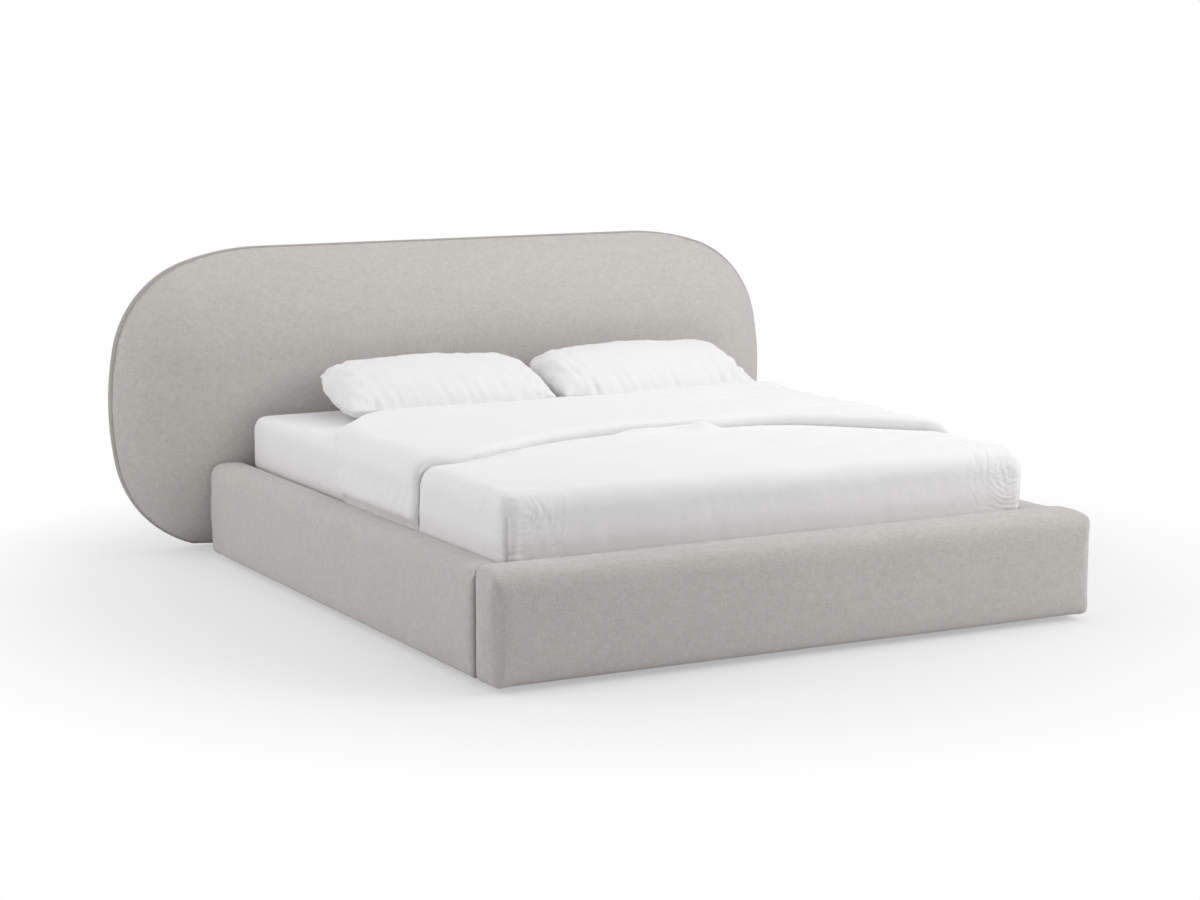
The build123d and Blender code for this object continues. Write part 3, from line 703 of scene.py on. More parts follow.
def subdivide(piece: bpy.types.Object, levels: int) -> None:
    """Live subdivision, the same in the view and the render.

    Args:
        piece: the piece.
        levels: how many times its faces are divided.
    """
    modifier = piece.modifiers.new("Round", "SUBSURF")
    modifier.levels = levels
    modifier.render_levels = levels


def finish_piece(piece: bpy.types.Object, finish: Palette, body: str,
                 replaced: Sequence[str] = ()) -> None:
    """Dresses a piece and ties it to its body.

    Args:
        piece: the piece.
        finish: its finish.
        body: the body it rides on.
        replaced: CAD nodes it stands for.
    """
    piece.data.materials.clear()
    piece.data.materials.append(WARDROBE.get(finish))
    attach(piece, body)
    if replaced:
        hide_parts(*replaced)
    LOG.info("%s: %d faces, on %s", piece.name, len(piece.data.polygons), body)


def dress_nodes(finish: Palette, *names: str) -> None:
    """Gives CAD nodes their finish.

    Args:
        finish: the finish.
        names: CAD nodes; a trailing * takes every node that starts so.
    """
    for name in names:
        found = [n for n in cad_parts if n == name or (name.endswith("*") and n.startswith(name[:-1]))]
        for node in found:
            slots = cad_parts[node].data.materials
            slots.clear()
            slots.append(WARDROBE.get(finish))
            LOG.info("%s: %s", node, finish.value.name)


# Upholstery


@dataclass(frozen=True)
class Upholstery:
    """Covered pads of the frame and the headboard."""

    voxel: float = 0.008
    smoothing: int = 3
    shrink: float = 0.0006
    air: Air = Air(pressure=3.0, cap=0.002)
    hollows: Creases = Creases(0.22, 0.0010)
    puckers: Creases = Creases(0.045, 0.0003)
    seed_step: float = 3.7
    sharp_angle: float = math.radians(38.0)
    pad_fill: float = 0.9
    headboard_fill: float = 0.95

    def build(self) -> None:
        """Builds every covered pad."""
        for number, node in enumerate(("footboard_pad", "side_pad_left", "side_pad_right")):
            piece = self.cover(f"{node}_cover", node, self.seed_step * number)
            finish_piece(piece, Palette.UPHOLSTERY, "frame", (node,))
        self.headboard("headboard_pad", Palette.UPHOLSTERY)
        # The panel takes the darker chenille, whose colour paints the shade along its seam round the pad.
        self.headboard("headboard_panel", Palette.SHADE_PAINTED_BAND)

    def cover(self, name: str, node: str, seed: float) -> bpy.types.Object:
        """One pad: its CAD form, evenly meshed, blown out a little and slightly uneven.

        Args:
            name: name of the piece.
            node: CAD node it stands for.
            seed: shifts the unevenness.

        Returns:
            The piece.
        """
        piece = node_copy(name, node)
        remesh(piece, self.voxel, self.smoothing)
        shape_surface(piece, lambda places: np.full(len(places), -self.shrink))
        swell(piece, self.air)
        shape_surface(piece, lambda places: self.hollows.at(places, seed) + self.puckers.at(places, seed))
        return piece

    def headboard(self, node: str, finish: Palette) -> None:
        """Domed pad of the headboard, or the panel whose edge shows as a band round the pad.

        Args:
            node: CAD node it stands for.
            finish: its finish.
        """
        piece = node_copy(f"{node}_cover", node)
        piece.data.set_sharp_from_angle(angle=self.sharp_angle)
        finish_piece(piece, finish, "frame", (node,))


# Bedding

# Heights between which a side of the bedding turns into its top
TOP_BAND: Band = (0.44, 0.5)

# Level at which a quilt's lower sheet is kept apart until it is shaped
UNDER_LEVEL = -1.0
QUILT_MERGE_REACH = 0.00005


@dataclass(frozen=True)
class Mattress:
    """Mattress in its fitted sheet."""

    voxel: float = 0.014
    smoothing: int = 2
    levels: int = 1
    fill: float = 0.95
    inset: float = 0.0012
    upright: Creases = Creases(0.05, 0.0011, 1.9, ((1.0, 0.0, 0.0), (0.0, 1.0, 0.0), (0.0, 0.0, 0.16)))
    hollows: Creases = Creases(0.3, 0.0008, 4.0)

    def build(self) -> None:
        """Builds the mattress over its CAD solid's form."""
        piece = node_copy("mattress_in_sheet", "mattress")
        remesh(piece, self.voxel, self.smoothing)
        shape_surface(piece, self.puckers)
        subdivide(piece, self.levels)
        finish_piece(piece, Palette.SHEET, "platform", ("mattress",))

    def puckers(self, places: np.ndarray) -> np.ndarray:
        """Height of the sheet's small upright creases, kept inside the CAD solid."""
        side = 1.0 - smooth(TOP_BAND, places[:, 2])
        return self.upright.at(places) * side + self.hollows.at(places) - self.inset


@dataclass(frozen=True)
class Drape:
    """Surface just outside the mattress, unrolled: a flat place becomes a place over its edges."""

    half_width: float = 0.9003
    foot: float = -1.0413
    top: float = 0.5002
    edge: float = 0.0423
    roll: float = 0.062

    @property
    def flat_side(self) -> float:
        """Distance from the middle at which the top starts to round over at the sides."""
        return self.half_width - self.edge

    @property
    def flat_foot(self) -> float:
        """Place along the bed at which the top starts to round over at the foot."""
        return self.foot + self.edge

    @property
    def quarter(self) -> float:
        """Length of cloth that lies on the rounded edge."""
        return self.roll * math.pi / 2

    def hem(self, height: float) -> float:
        """Distance past the edge at which the cloth reaches a height."""
        return self.quarter + (self.top - self.edge - height)

    def lay(self, across: np.ndarray, along: np.ndarray) -> tuple[np.ndarray, np.ndarray, np.ndarray]:
        """Finds where flat places lie.

        Args:
            across: place across the bed, measured on the cloth.
            along: place along the bed, measured on the cloth.

        Returns:
            Places on the mattress, the outward normals there, and how far each is past its edge.
        """
        over_x = np.maximum(np.abs(across) - self.flat_side, 0.0)
        over_y = np.maximum(self.flat_foot - along, 0.0)
        past = np.hypot(over_x, over_y)
        safe = np.maximum(past, TINY)
        out_x = np.sign(across) * over_x / safe
        out_y = -over_y / safe
        angle = np.minimum(past, self.quarter) / self.roll
        drop = np.maximum(past - self.quarter, 0.0)
        normal = np.stack([out_x * np.sin(angle), out_y * np.sin(angle), np.cos(angle)], axis=1)
        core_x = np.clip(across, -self.flat_side, self.flat_side)
        core_y = np.maximum(along, self.flat_foot)
        core = np.stack([core_x, core_y, self.top - self.edge - drop], axis=1)
        return core + normal * self.edge, normal, past


def stations(length: float, low_edge: float, high_edge: float, pitch: float, steps: int = 8) -> np.ndarray:
    """Places from 0 to a length, closer together near either end.

    Args:
        length: whole length.
        low_edge: length of the rounded part at the start.
        high_edge: length of the rounded part at the end.
        pitch: spacing in between.
        steps: places on each rounded part.

    Returns:
        The places.
    """
    share = 1.0 - np.cos(np.linspace(0.0, math.pi / 2, steps))
    count = max(2, int(round((length - low_edge - high_edge) / pitch)))
    middle = np.linspace(low_edge, length - high_edge, count + 1)[1:-1]
    return np.concatenate([share * low_edge, middle, (length - share * high_edge)[::-1]])


def rounded(distance: np.ndarray, width: float, power: float = 2.0) -> np.ndarray:
    """Share of full thickness at a distance from a rounded edge; a higher power squares it."""
    share = np.clip(distance / width, 0.0, 1.0)
    return np.maximum(0.0, 1.0 - (1.0 - share) ** power) ** (1.0 / power)


def refine(bm: bmesh.types.BMesh, fine: Callable[[np.ndarray], np.ndarray], rounds: int = 2) -> None:
    """Divides the upper sheet's faces where more detail is wanted.

    Args:
        bm: both flat sheets.
        fine: says for each place whether it needs detail.
        rounds: how many times the faces there are divided.
    """
    for _ in range(rounds):
        flat = np.array([v.co for v in bm.verts])
        chosen = fine(flat) & (flat[:, 2] > UNDER_LEVEL / 2)
        bm.verts.index_update()
        edges = [e for e in bm.edges if chosen[e.verts[0].index] and chosen[e.verts[1].index]]
        bmesh.ops.subdivide_edges(bm, edges=edges, cuts=1, use_grid_fill=True)


def quilt(name: str, across: np.ndarray, along: np.ndarray, upper: Field, lower: Field,
          fine: Callable[[np.ndarray], np.ndarray] | None = None) -> bpy.types.Object:
    """Closed quilt from two sheets that meet at their borders.

    Args:
        name: name of the piece.
        across: place across the cloth of every grid point, a row for each line along the bed.
        along: place along the cloth of every grid point.
        upper: gives the upper face's places.
        lower: gives the lower face's places.
        fine: says for each place whether it needs more detail.

    Returns:
        The piece.
    """
    rows, columns = across.shape
    bm = bmesh.new()
    bmesh.ops.create_grid(bm, x_segments=columns - 1, y_segments=rows - 1, size=1.0)
    share = (np.array([v.co for v in bm.verts]) + 1.0) / 2.0
    column = np.rint(share[:, 0] * (columns - 1)).astype(int)
    row = np.rint(share[:, 1] * (rows - 1)).astype(int)
    for vert, x, y in zip(bm.verts, across[row, column], along[row, column]):
        vert.co = (x, y, 0.0)
    copy = bmesh.ops.duplicate(bm, geom=[*bm.verts, *bm.edges, *bm.faces])["geom"]
    bmesh.ops.reverse_faces(bm, faces=[item for item in copy if isinstance(item, bmesh.types.BMFace)])
    for item in copy:
        if isinstance(item, bmesh.types.BMVert):
            item.co.z = UNDER_LEVEL
    if fine is not None:
        refine(bm, fine)
    over = [v for v in bm.verts if v.co.z > UNDER_LEVEL / 2]
    under = [v for v in bm.verts if v.co.z < UNDER_LEVEL / 2]
    for side, verts in ((upper, over), (lower, under)):
        flat = np.array([v.co for v in verts])
        for vert, place in zip(verts, side(flat[:, 0], flat[:, 1])):
            vert.co = place
    bmesh.ops.remove_doubles(bm, verts=bm.verts, dist=QUILT_MERGE_REACH)
    bmesh.ops.recalc_face_normals(bm, faces=bm.faces)
    return new_object(name, bm)


def sheet_places(across: np.ndarray, along: np.ndarray) -> np.ndarray:
    """Flat places on the cloth as rows of three."""
    return np.stack([across, along, np.zeros_like(across)], axis=1)


@dataclass(frozen=True)
class CornerPleat:
    """Pleat at a foot corner, and the ripples that fan out from its top.

    The line is a groove on the foot face with a fuller lip towards the middle and a narrow strip
    towards the side. Places on the foot face are measured from the groove and from the foot.
    """

    across: float = 0.886
    top: float = 0.462
    foot_band: Band = (0.030, 0.018)
    level_band: Band = (0.440, 0.468)
    groove_width: float = 0.0026
    groove_depth: float = 0.0075
    lip_place: float = 0.014
    lip_width: float = 0.011
    lip_height: float = 0.0030
    strip_place: float = -0.010
    strip_width: float = 0.006
    strip_height: float = 0.0022
    ripple_pitch: float = 0.0125
    ripple_height: float = 0.0021
    ripple_start: Band = (0.012, 0.05)
    ripple_end: Band = (0.14, 0.34)
    squash: Triple = (1.0, 0.8, 1.45)
    drift: Creases = Creases(0.05, 1.2, 5.0)
    patches: Creases = Creases(0.08, 1.0, 8.0)
    patch_band: Band = (-0.30, 0.25)
    patch_least: float = 0.45
    rays: float = 3.4
    ray_lean: float = 9.0
    ray_seed: float = 5.0

    def height(self, base: np.ndarray, foot: float, sign: float) -> np.ndarray:
        """Height of the pleat and its ripples at places on the mattress."""
        return self.ripples(base, foot, sign) + self.line(base, foot, sign)

    def ripples(self, base: np.ndarray, foot: float, sign: float) -> np.ndarray:
        """Fine ripples round the top of the pleat.

        Args:
            base: places on the mattress.
            foot: place of the foot face.
            sign: -1 for the left corner and 1 for the right.

        Returns:
            Their height.
        """
        top = np.array([sign * self.across, foot, self.top])
        away = (base - top) * np.array(self.squash)
        distance = np.linalg.norm(away, axis=1)
        turn = np.arctan2(away[:, 2], away[:, 0] - sign * away[:, 1])
        rings = distance / self.ripple_pitch + self.drift.at(base, sign)
        lean = distance * self.ray_lean + sign * self.ray_seed
        patch = smooth(self.patch_band, self.patches.at(base, sign))
        strength = self.patch_least + (1.0 - self.patch_least) * patch
        fall = smooth(self.ripple_start, distance) * (1.0 - smooth(self.ripple_end, distance))
        return waves(np.stack([rings, turn * self.rays, lean], axis=1)) * fall * strength * self.ripple_height

    def line(self, base: np.ndarray, foot: float, sign: float) -> np.ndarray:
        """Line of the pleat on the foot face.

        Args:
            base: places on the mattress.
            foot: place of the foot face.
            sign: -1 for the left corner and 1 for the right.

        Returns:
            Its height.
        """
        inner = self.across - base[:, 0] * sign
        foot_face = smooth(self.foot_band, base[:, 1] - foot)
        groove = ridge(inner, 0.0, self.groove_width) * -self.groove_depth
        lip = ridge(inner, self.lip_place, self.lip_width) * self.lip_height
        strip = ridge(inner, self.strip_place, self.strip_width) * self.strip_height
        return (groove + lip + strip) * foot_face * (1.0 - smooth(self.level_band, base[:, 2]))


@dataclass(frozen=True)
class Ruck:
    """Small wave of the body pushed up against the front of the fold.

    It has a lip along the front, a crest at its right end, a crease that runs on from the crest,
    and a hollow under the fold's edge. Distances ahead are measured from the front.
    """

    lip_ahead: float = 0.026
    lip_width: float = 0.014
    lip_height: float = 0.016
    lip_start: Band = (-0.14, -0.03)
    lip_end: Band = (0.19, 0.12)
    crest_across: float = 0.205
    crest_length: float = 0.055
    crest_ahead: float = 0.034
    crest_width: float = 0.028
    crest_height: float = 0.030
    run_across: float = 0.22
    run_ahead: float = 0.10
    run_slope: float = 0.45
    run_width: float = 0.024
    run_height: float = 0.007
    run_start: Band = (0.20, 0.30)
    run_end: Band = (0.62, 0.40)
    hollow_ahead: float = -0.008
    hollow_width: float = 0.008
    hollow_depth: float = 0.006

    def height(self, across: np.ndarray, ahead: np.ndarray) -> np.ndarray:
        """Height of the wave.

        Args:
            across: place across the cloth.
            ahead: distance ahead of the fold's front.

        Returns:
            The height.
        """
        lip = ridge(ahead, self.lip_ahead, self.lip_width)
        lip = lip * smooth(self.lip_start, across) * smooth(self.lip_end, across)
        crest = ridge(across, self.crest_across, self.crest_length)
        crest = crest * ridge(ahead, self.crest_ahead, self.crest_width)
        run_line = self.run_ahead + self.run_slope * (across - self.run_across)
        run = ridge(ahead, run_line, self.run_width)
        run = run * smooth(self.run_start, across) * smooth(self.run_end, across)
        raised = lip * self.lip_height + crest * self.crest_height + run * self.run_height
        return raised - ridge(ahead, self.hollow_ahead, self.hollow_width) * self.hollow_depth


@dataclass(frozen=True)
class DuvetPart:
    """What the duvet's body and its folded part share."""

    drape: Drape
    hem_height: float = 0.306
    hem_edge: float = 0.008
    body_top: float = 0.026
    side_thickness: float = 0.0088
    lap: float = 0.09
    line_blur: float = 0.05
    line_steps: int = 7
    front_across: tuple[float, ...] = (-1.15, -0.95, -0.80, -0.684, -0.55, -0.396, -0.229, -0.05, 0.10, 0.227,
                                       0.361, 0.501, 0.60, 0.70, 0.832, 0.95, 1.15)
    front_along: tuple[float, ...] = (-0.455, -0.490, -0.485, -0.430, -0.350, -0.268, -0.213, -0.189, -0.195,
                                      -0.228, -0.232, -0.262, -0.340, -0.450, -0.600, -0.665, -0.690)
    head_across: tuple[float, ...] = (-1.15, -0.95, -0.88, -0.80, -0.70, -0.62, 0.85, 0.95, 1.15)
    head_along: tuple[float, ...] = (0.125, 0.15, 0.18, 0.30, 0.42, 0.451, 0.451, 0.47, 0.47)

    @property
    def reach(self) -> float:
        """Distance of the side hems from the middle, on the cloth."""
        return self.drape.flat_side + self.drape.hem(self.hem_height)

    @property
    def foot_hem(self) -> float:
        """Place of the foot hem along the cloth."""
        return self.drape.flat_foot - self.drape.hem(self.hem_height)

    def front(self, across: np.ndarray) -> np.ndarray:
        """Front edge of the folded part."""
        return self.curve(across, self.front_across, self.front_along)

    def head(self, across: np.ndarray) -> np.ndarray:
        """Head edge of the duvet."""
        return self.curve(across, self.head_across, self.head_along)

    def curve(self, across: np.ndarray, places: Sequence[float], levels: Sequence[float]) -> np.ndarray:
        """Smooth line through some points, averaged over a short span."""
        span = np.linspace(-self.line_blur, self.line_blur, self.line_steps)
        return np.mean([np.interp(across + step, places, levels) for step in span], axis=0)

    def columns(self, pitch: float) -> np.ndarray:
        """Places across the cloth, from hem to hem."""
        return stations(self.reach * 2, self.hem_edge, self.hem_edge, pitch) - self.reach

    @staticmethod
    def grid(columns: np.ndarray, shares: np.ndarray, low: np.ndarray,
             high: np.ndarray) -> tuple[np.ndarray, np.ndarray]:
        """Grid of flat places between two lines across the bed."""
        across = np.tile(columns, (len(shares), 1))
        return across, low[None, :] + shares[:, None] * (high - low)[None, :]


@dataclass(frozen=True)
class DuvetBody(DuvetPart):
    """Part of the duvet that shows from the foot up to the fold, and ends under it."""

    fill: float = 0.4
    pitch: float = 0.0121
    pitch_share: float = 0.0095
    foot_edge_share: float = 0.006
    lap_edge_share: float = 0.02
    rim: float = 0.02
    bend_share: float = 1.25
    fullness: float = 0.004
    fullness_start: Band = (0.345, 0.40)
    calm_band: Band = (0.0, 0.11)
    border_band: Band = (0.0, 0.03)
    hollows: Creases = Creases(0.42, 0.006, 1.3)
    streaks: Creases = Creases(0.26, 0.0050, 4.1, ((0.5, 0.9, 0.0), (-1.12, 3.2, 0.0), (0.0, 0.0, 1.0)))
    hanging: Creases = Creases(0.045, 0.0011, 2.2, ((1.0, 0.0, 0.35), (0.0, 1.0, 0.2), (0.0, 0.0, 0.22)))
    puckers: Creases = Creases(0.09, 0.0007, 7.7)
    pleat: CornerPleat = CornerPleat()
    ruck: Ruck = Ruck()
    fine_corner: float = 0.16
    fine_border: float = 0.014
    fine_front: Band = (-0.022, 0.012)
    fine_ruck: Band = (-0.022, 0.075)
    fine_ruck_across: Band = (-0.16, 0.32)

    def build(self) -> None:
        """Builds the body."""
        columns = self.columns(self.pitch)
        shares = stations(1.0, self.foot_edge_share, self.lap_edge_share, self.pitch_share)
        foot = np.full(len(columns), self.foot_hem)
        across, along = self.grid(columns, shares, foot, self.front(columns) + self.lap)
        piece = quilt("duvet_body", across, along, self.upper, self.lower, self.detailed)
        finish_piece(piece, Palette.DUVET, "platform", ("duvet",))

    def detailed(self, flat: np.ndarray) -> np.ndarray:
        """Says where finer faces are needed: by the foot corners and along the fold's front.

        Args:
            flat: flat places, one row each.

        Returns:
            Whether each of them is there.
        """
        across, along = flat[:, 0], flat[:, 1]
        ahead = self.front(across) - along
        by_side = np.abs(across) - self.drape.flat_side > -self.fine_corner
        by_foot = self.drape.flat_foot - along > -self.fine_corner
        by_front = (ahead > self.fine_front[0]) & (ahead < self.fine_front[1])
        by_ruck = (ahead > self.fine_ruck[0]) & (ahead < self.fine_ruck[1])
        by_ruck &= (across > self.fine_ruck_across[0]) & (across < self.fine_ruck_across[1])
        clear = (np.abs(across) < self.reach - self.fine_border) & (along > self.foot_hem + self.fine_border)
        return ((by_side & by_foot) | by_front | by_ruck) & clear

    def tucked(self, across: np.ndarray, along: np.ndarray) -> tuple[np.ndarray, np.ndarray]:
        """Flat places drawn in at the foot corners, so that the hem stays level there.

        Args:
            across: place across the cloth.
            along: place along the cloth.

        Returns:
            The new places across and along.
        """
        side, foot = self.drape.flat_side, self.drape.flat_foot
        over_x = np.maximum(np.abs(across) - side, 0.0)
        over_y = np.maximum(foot - along, 0.0)
        largest = np.maximum(over_x, over_y)
        share = largest / np.maximum(np.hypot(over_x, over_y), TINY)
        share = np.where(largest > 0, share, 1.0)
        x = np.where(over_x > 0, np.sign(across) * (side + over_x * share), across)
        y = np.where(over_y > 0, foot - over_y * share, along)
        return x, y

    def rise(self, across: np.ndarray, along: np.ndarray) -> tuple[np.ndarray, np.ndarray, np.ndarray]:
        """Finds where the body lies and how thick it is.

        Args:
            across: place across the cloth.
            along: place along the cloth.

        Returns:
            Places on the mattress, normals there and the full thickness.
        """
        base, normal, past = self.drape.lay(*self.tucked(across, along))
        down = smooth((0.0, self.drape.quarter * self.bend_share), past)
        full = self.body_top * (1.0 - down) + self.side_thickness * down
        free = smooth(self.fullness_start, base[:, 2]) * (1.0 - smooth(TOP_BAND, base[:, 2]))
        return base, normal, full + self.fullness * free * down

    def upper(self, across: np.ndarray, along: np.ndarray) -> np.ndarray:
        """Upper face of the body, with its wrinkles.

        Args:
            across: place across the cloth.
            along: place along the cloth.

        Returns:
            Its places.
        """
        base, normal, full = self.rise(across, along)
        from_hem = np.minimum(self.reach - np.abs(across), along - self.foot_hem)
        distance = np.minimum(from_hem, self.front(across) + self.lap - along)
        wrinkles = self.wrinkles(across, along, base) * smooth(self.border_band, distance)
        return base + normal * (full * rounded(distance, self.rim) + wrinkles)[:, None]

    def lower(self, across: np.ndarray, along: np.ndarray) -> np.ndarray:
        """Lower face of the body, on the mattress."""
        return self.rise(across, along)[0]

    def wrinkles(self, across: np.ndarray, along: np.ndarray, base: np.ndarray) -> np.ndarray:
        """Height of the body's folds and creases.

        Args:
            across: place across the cloth.
            along: place along the cloth.
            base: places on the mattress.

        Returns:
            The height.
        """
        flat = sheet_places(across, along)
        ahead = self.front(across) - along
        top = smooth(TOP_BAND, base[:, 2])
        on_top = (self.hollows.at(flat) + self.streaks.at(flat)) * top
        on_sides = self.hanging.at(base) * (1.0 - top)
        height = (on_top + on_sides + self.puckers.at(base)) * smooth(self.calm_band, ahead)
        for sign in (-1.0, 1.0):
            height = height + self.pleat.height(base, self.drape.foot, sign)
        return height + self.ruck.height(across, ahead)


@dataclass(frozen=True)
class FoldCreases:
    """Creases of the folded part."""

    hollows: Creases = Creases(0.36, 0.006, 9.1)
    long_lines: Creases = Creases(0.10, 0.0022, 5.5, ((0.45, 0.0, 0.0), (0.0, 1.5, 0.0), (0.0, 0.0, 1.0)))
    right_lines: Creases = Creases(0.12, 0.0090, 12.3, ((0.35, -0.55, 0.0), (0.9, 2.4, 0.0), (0.0, 0.0, 1.0)))
    right_band: Band = (0.0, 0.45)
    side_lines: Creases = Creases(0.11, 0.0042, 3.3, ((2.08, 2.6, 0.0), (-0.7, 0.175, 0.0), (0.0, 0.0, 1.0)))
    puckers: Creases = Creases(0.05, 0.0007, 2.9)
    vee_along: float = 0.28
    vee_across: float = -0.98
    vee_slope: float = 1.1
    vee_pitch: float = 0.055
    vee_height: float = 0.0026
    vee_drift: Creases = Creases(0.12, 1.5, 6.6)
    vee_inner: Band = (-0.86, -0.93)
    vee_outer: Band = (-1.13, -1.06)
    vee_start: Band = (0.0, 0.12)

    def height(self, across: np.ndarray, along: np.ndarray, base: np.ndarray) -> np.ndarray:
        """Height of all of them.

        Args:
            across: place across the cloth.
            along: place along the cloth.
            base: places on the mattress.

        Returns:
            The height.
        """
        flat = sheet_places(across, along)
        top = smooth(TOP_BAND, base[:, 2])
        right = self.right_lines.at(flat) * smooth(self.right_band, across)
        on_top = (self.hollows.at(flat) + self.long_lines.at(flat) + right) * top
        on_sides = self.side_lines.at(flat) * (1.0 - top)
        return on_top + on_sides + self.vee_lines(across, along, flat) + self.puckers.at(flat)

    def vee_lines(self, across: np.ndarray, along: np.ndarray, flat: np.ndarray) -> np.ndarray:
        """Creases that meet in a V where the left side hangs down.

        Args:
            across: place across the cloth.
            along: place along the cloth.
            flat: both as rows of three.

        Returns:
            Their height.
        """
        vee = np.abs(along - self.vee_along) * self.vee_slope - (across - self.vee_across)
        lines = np.sin(vee * (2.0 * math.pi / self.vee_pitch) + self.vee_drift.at(flat)) * self.vee_height
        side = smooth(self.vee_inner, across) * smooth(self.vee_outer, across)
        return lines * side * smooth(self.vee_start, along)


@dataclass(frozen=True)
class DuvetFold(DuvetPart):
    """Folded-back part of the duvet, from its rounded front to the duvet's head edge."""

    fill: float = 0.5
    pitch: float = 0.011
    pitch_share: float = 0.015
    front_edge_share: float = 0.10
    head_edge_share: float = 0.07
    top_height: float = 0.061
    side_height: float = 0.031
    least: float = 0.003
    rim: float = 0.040
    rim_power: float = 2.2
    head_rim: float = 0.05
    undercut: float = 0.024
    undercut_shift: float = 0.008
    sink: float = 0.006
    bend_share: float = 1.2
    under_side_share: float = 0.7
    rest_shares: Band = (0.75, 1.5)
    tuck_band: Band = (0.333, 0.372)
    crest: float = 0.010
    crest_band: Band = (0.30, 0.05)
    crest_level: Band = (0.47, 0.5)
    sag: float = 0.002
    sag_start: Band = (0.05, 0.11)
    sag_end: Band = (0.16, 0.34)
    border_band: Band = (0.0, 0.05)
    creases: FoldCreases = FoldCreases()

    def build(self) -> None:
        """Builds the folded part."""
        columns = self.columns(self.pitch)
        shares = stations(1.0, self.front_edge_share, self.head_edge_share, self.pitch_share)
        across, along = self.grid(columns, shares, self.front(columns), self.head(columns))
        piece = quilt("duvet_fold", across, along, self.upper, self.lower)
        finish_piece(piece, Palette.DUVET, "platform", ("duvet",))

    def rise(self, across: np.ndarray, along: np.ndarray) -> tuple[np.ndarray, ...]:
        """Finds where the folded part lies, with its rounded front hanging over.

        Args:
            across: place across the cloth.
            along: place along the cloth.

        Returns:
            Places on the mattress, normals there, and the heights of its lower and upper faces.
        """
        behind = along - self.front(across)
        back = self.undercut * (1.0 - rounded(behind, self.rim, self.rim_power)) ** 2
        base, normal, past = self.drape.lay(across, along + back - self.undercut_shift)
        down = smooth((0.0, self.drape.quarter * self.bend_share), past)
        rest = 1.0 - smooth((self.lap * self.rest_shares[0], self.lap * self.rest_shares[1]), behind)
        body_side = self.side_thickness * self.under_side_share
        under = (self.body_top * (1.0 - down) + body_side * down) * rest
        tuck = 1.0 - smooth(self.tuck_band, base[:, 2])
        side = self.side_height * (1.0 - tuck) + self.side_thickness * tuck
        full = self.top_height * (1.0 - down) + side * down
        under = np.maximum(np.minimum(under, full - self.least) - self.sink * rest, 0.0)
        return base, normal, under, full

    def upper(self, across: np.ndarray, along: np.ndarray) -> np.ndarray:
        """Upper face of the folded part, with its creases.

        Args:
            across: place across the cloth.
            along: place along the cloth.

        Returns:
            Its places.
        """
        base, normal, under, full = self.rise(across, along)
        front = along - self.front(across)
        head = self.head(across) - along
        side = self.reach - np.abs(across)
        at_ends = np.minimum(rounded(front, self.rim, self.rim_power), rounded(head, self.head_rim))
        edge = np.minimum(at_ends, rounded(side, self.hem_edge))
        crest = self.crest * smooth(self.crest_band, head) * smooth(self.crest_level, base[:, 2])
        sag = self.sag * smooth(self.sag_start, front) * (1.0 - smooth(self.sag_end, front))
        relief = crest - sag + self.creases.height(across, along, base)
        inside = smooth(self.border_band, np.minimum(front, head))
        return base + normal * (under + (full - under) * edge + relief * inside)[:, None]

    def lower(self, across: np.ndarray, along: np.ndarray) -> np.ndarray:
        """Lower face of the folded part, on the body and on the mattress."""
        base, normal, under, _ = self.rise(across, along)
        return base + normal * under[:, None]


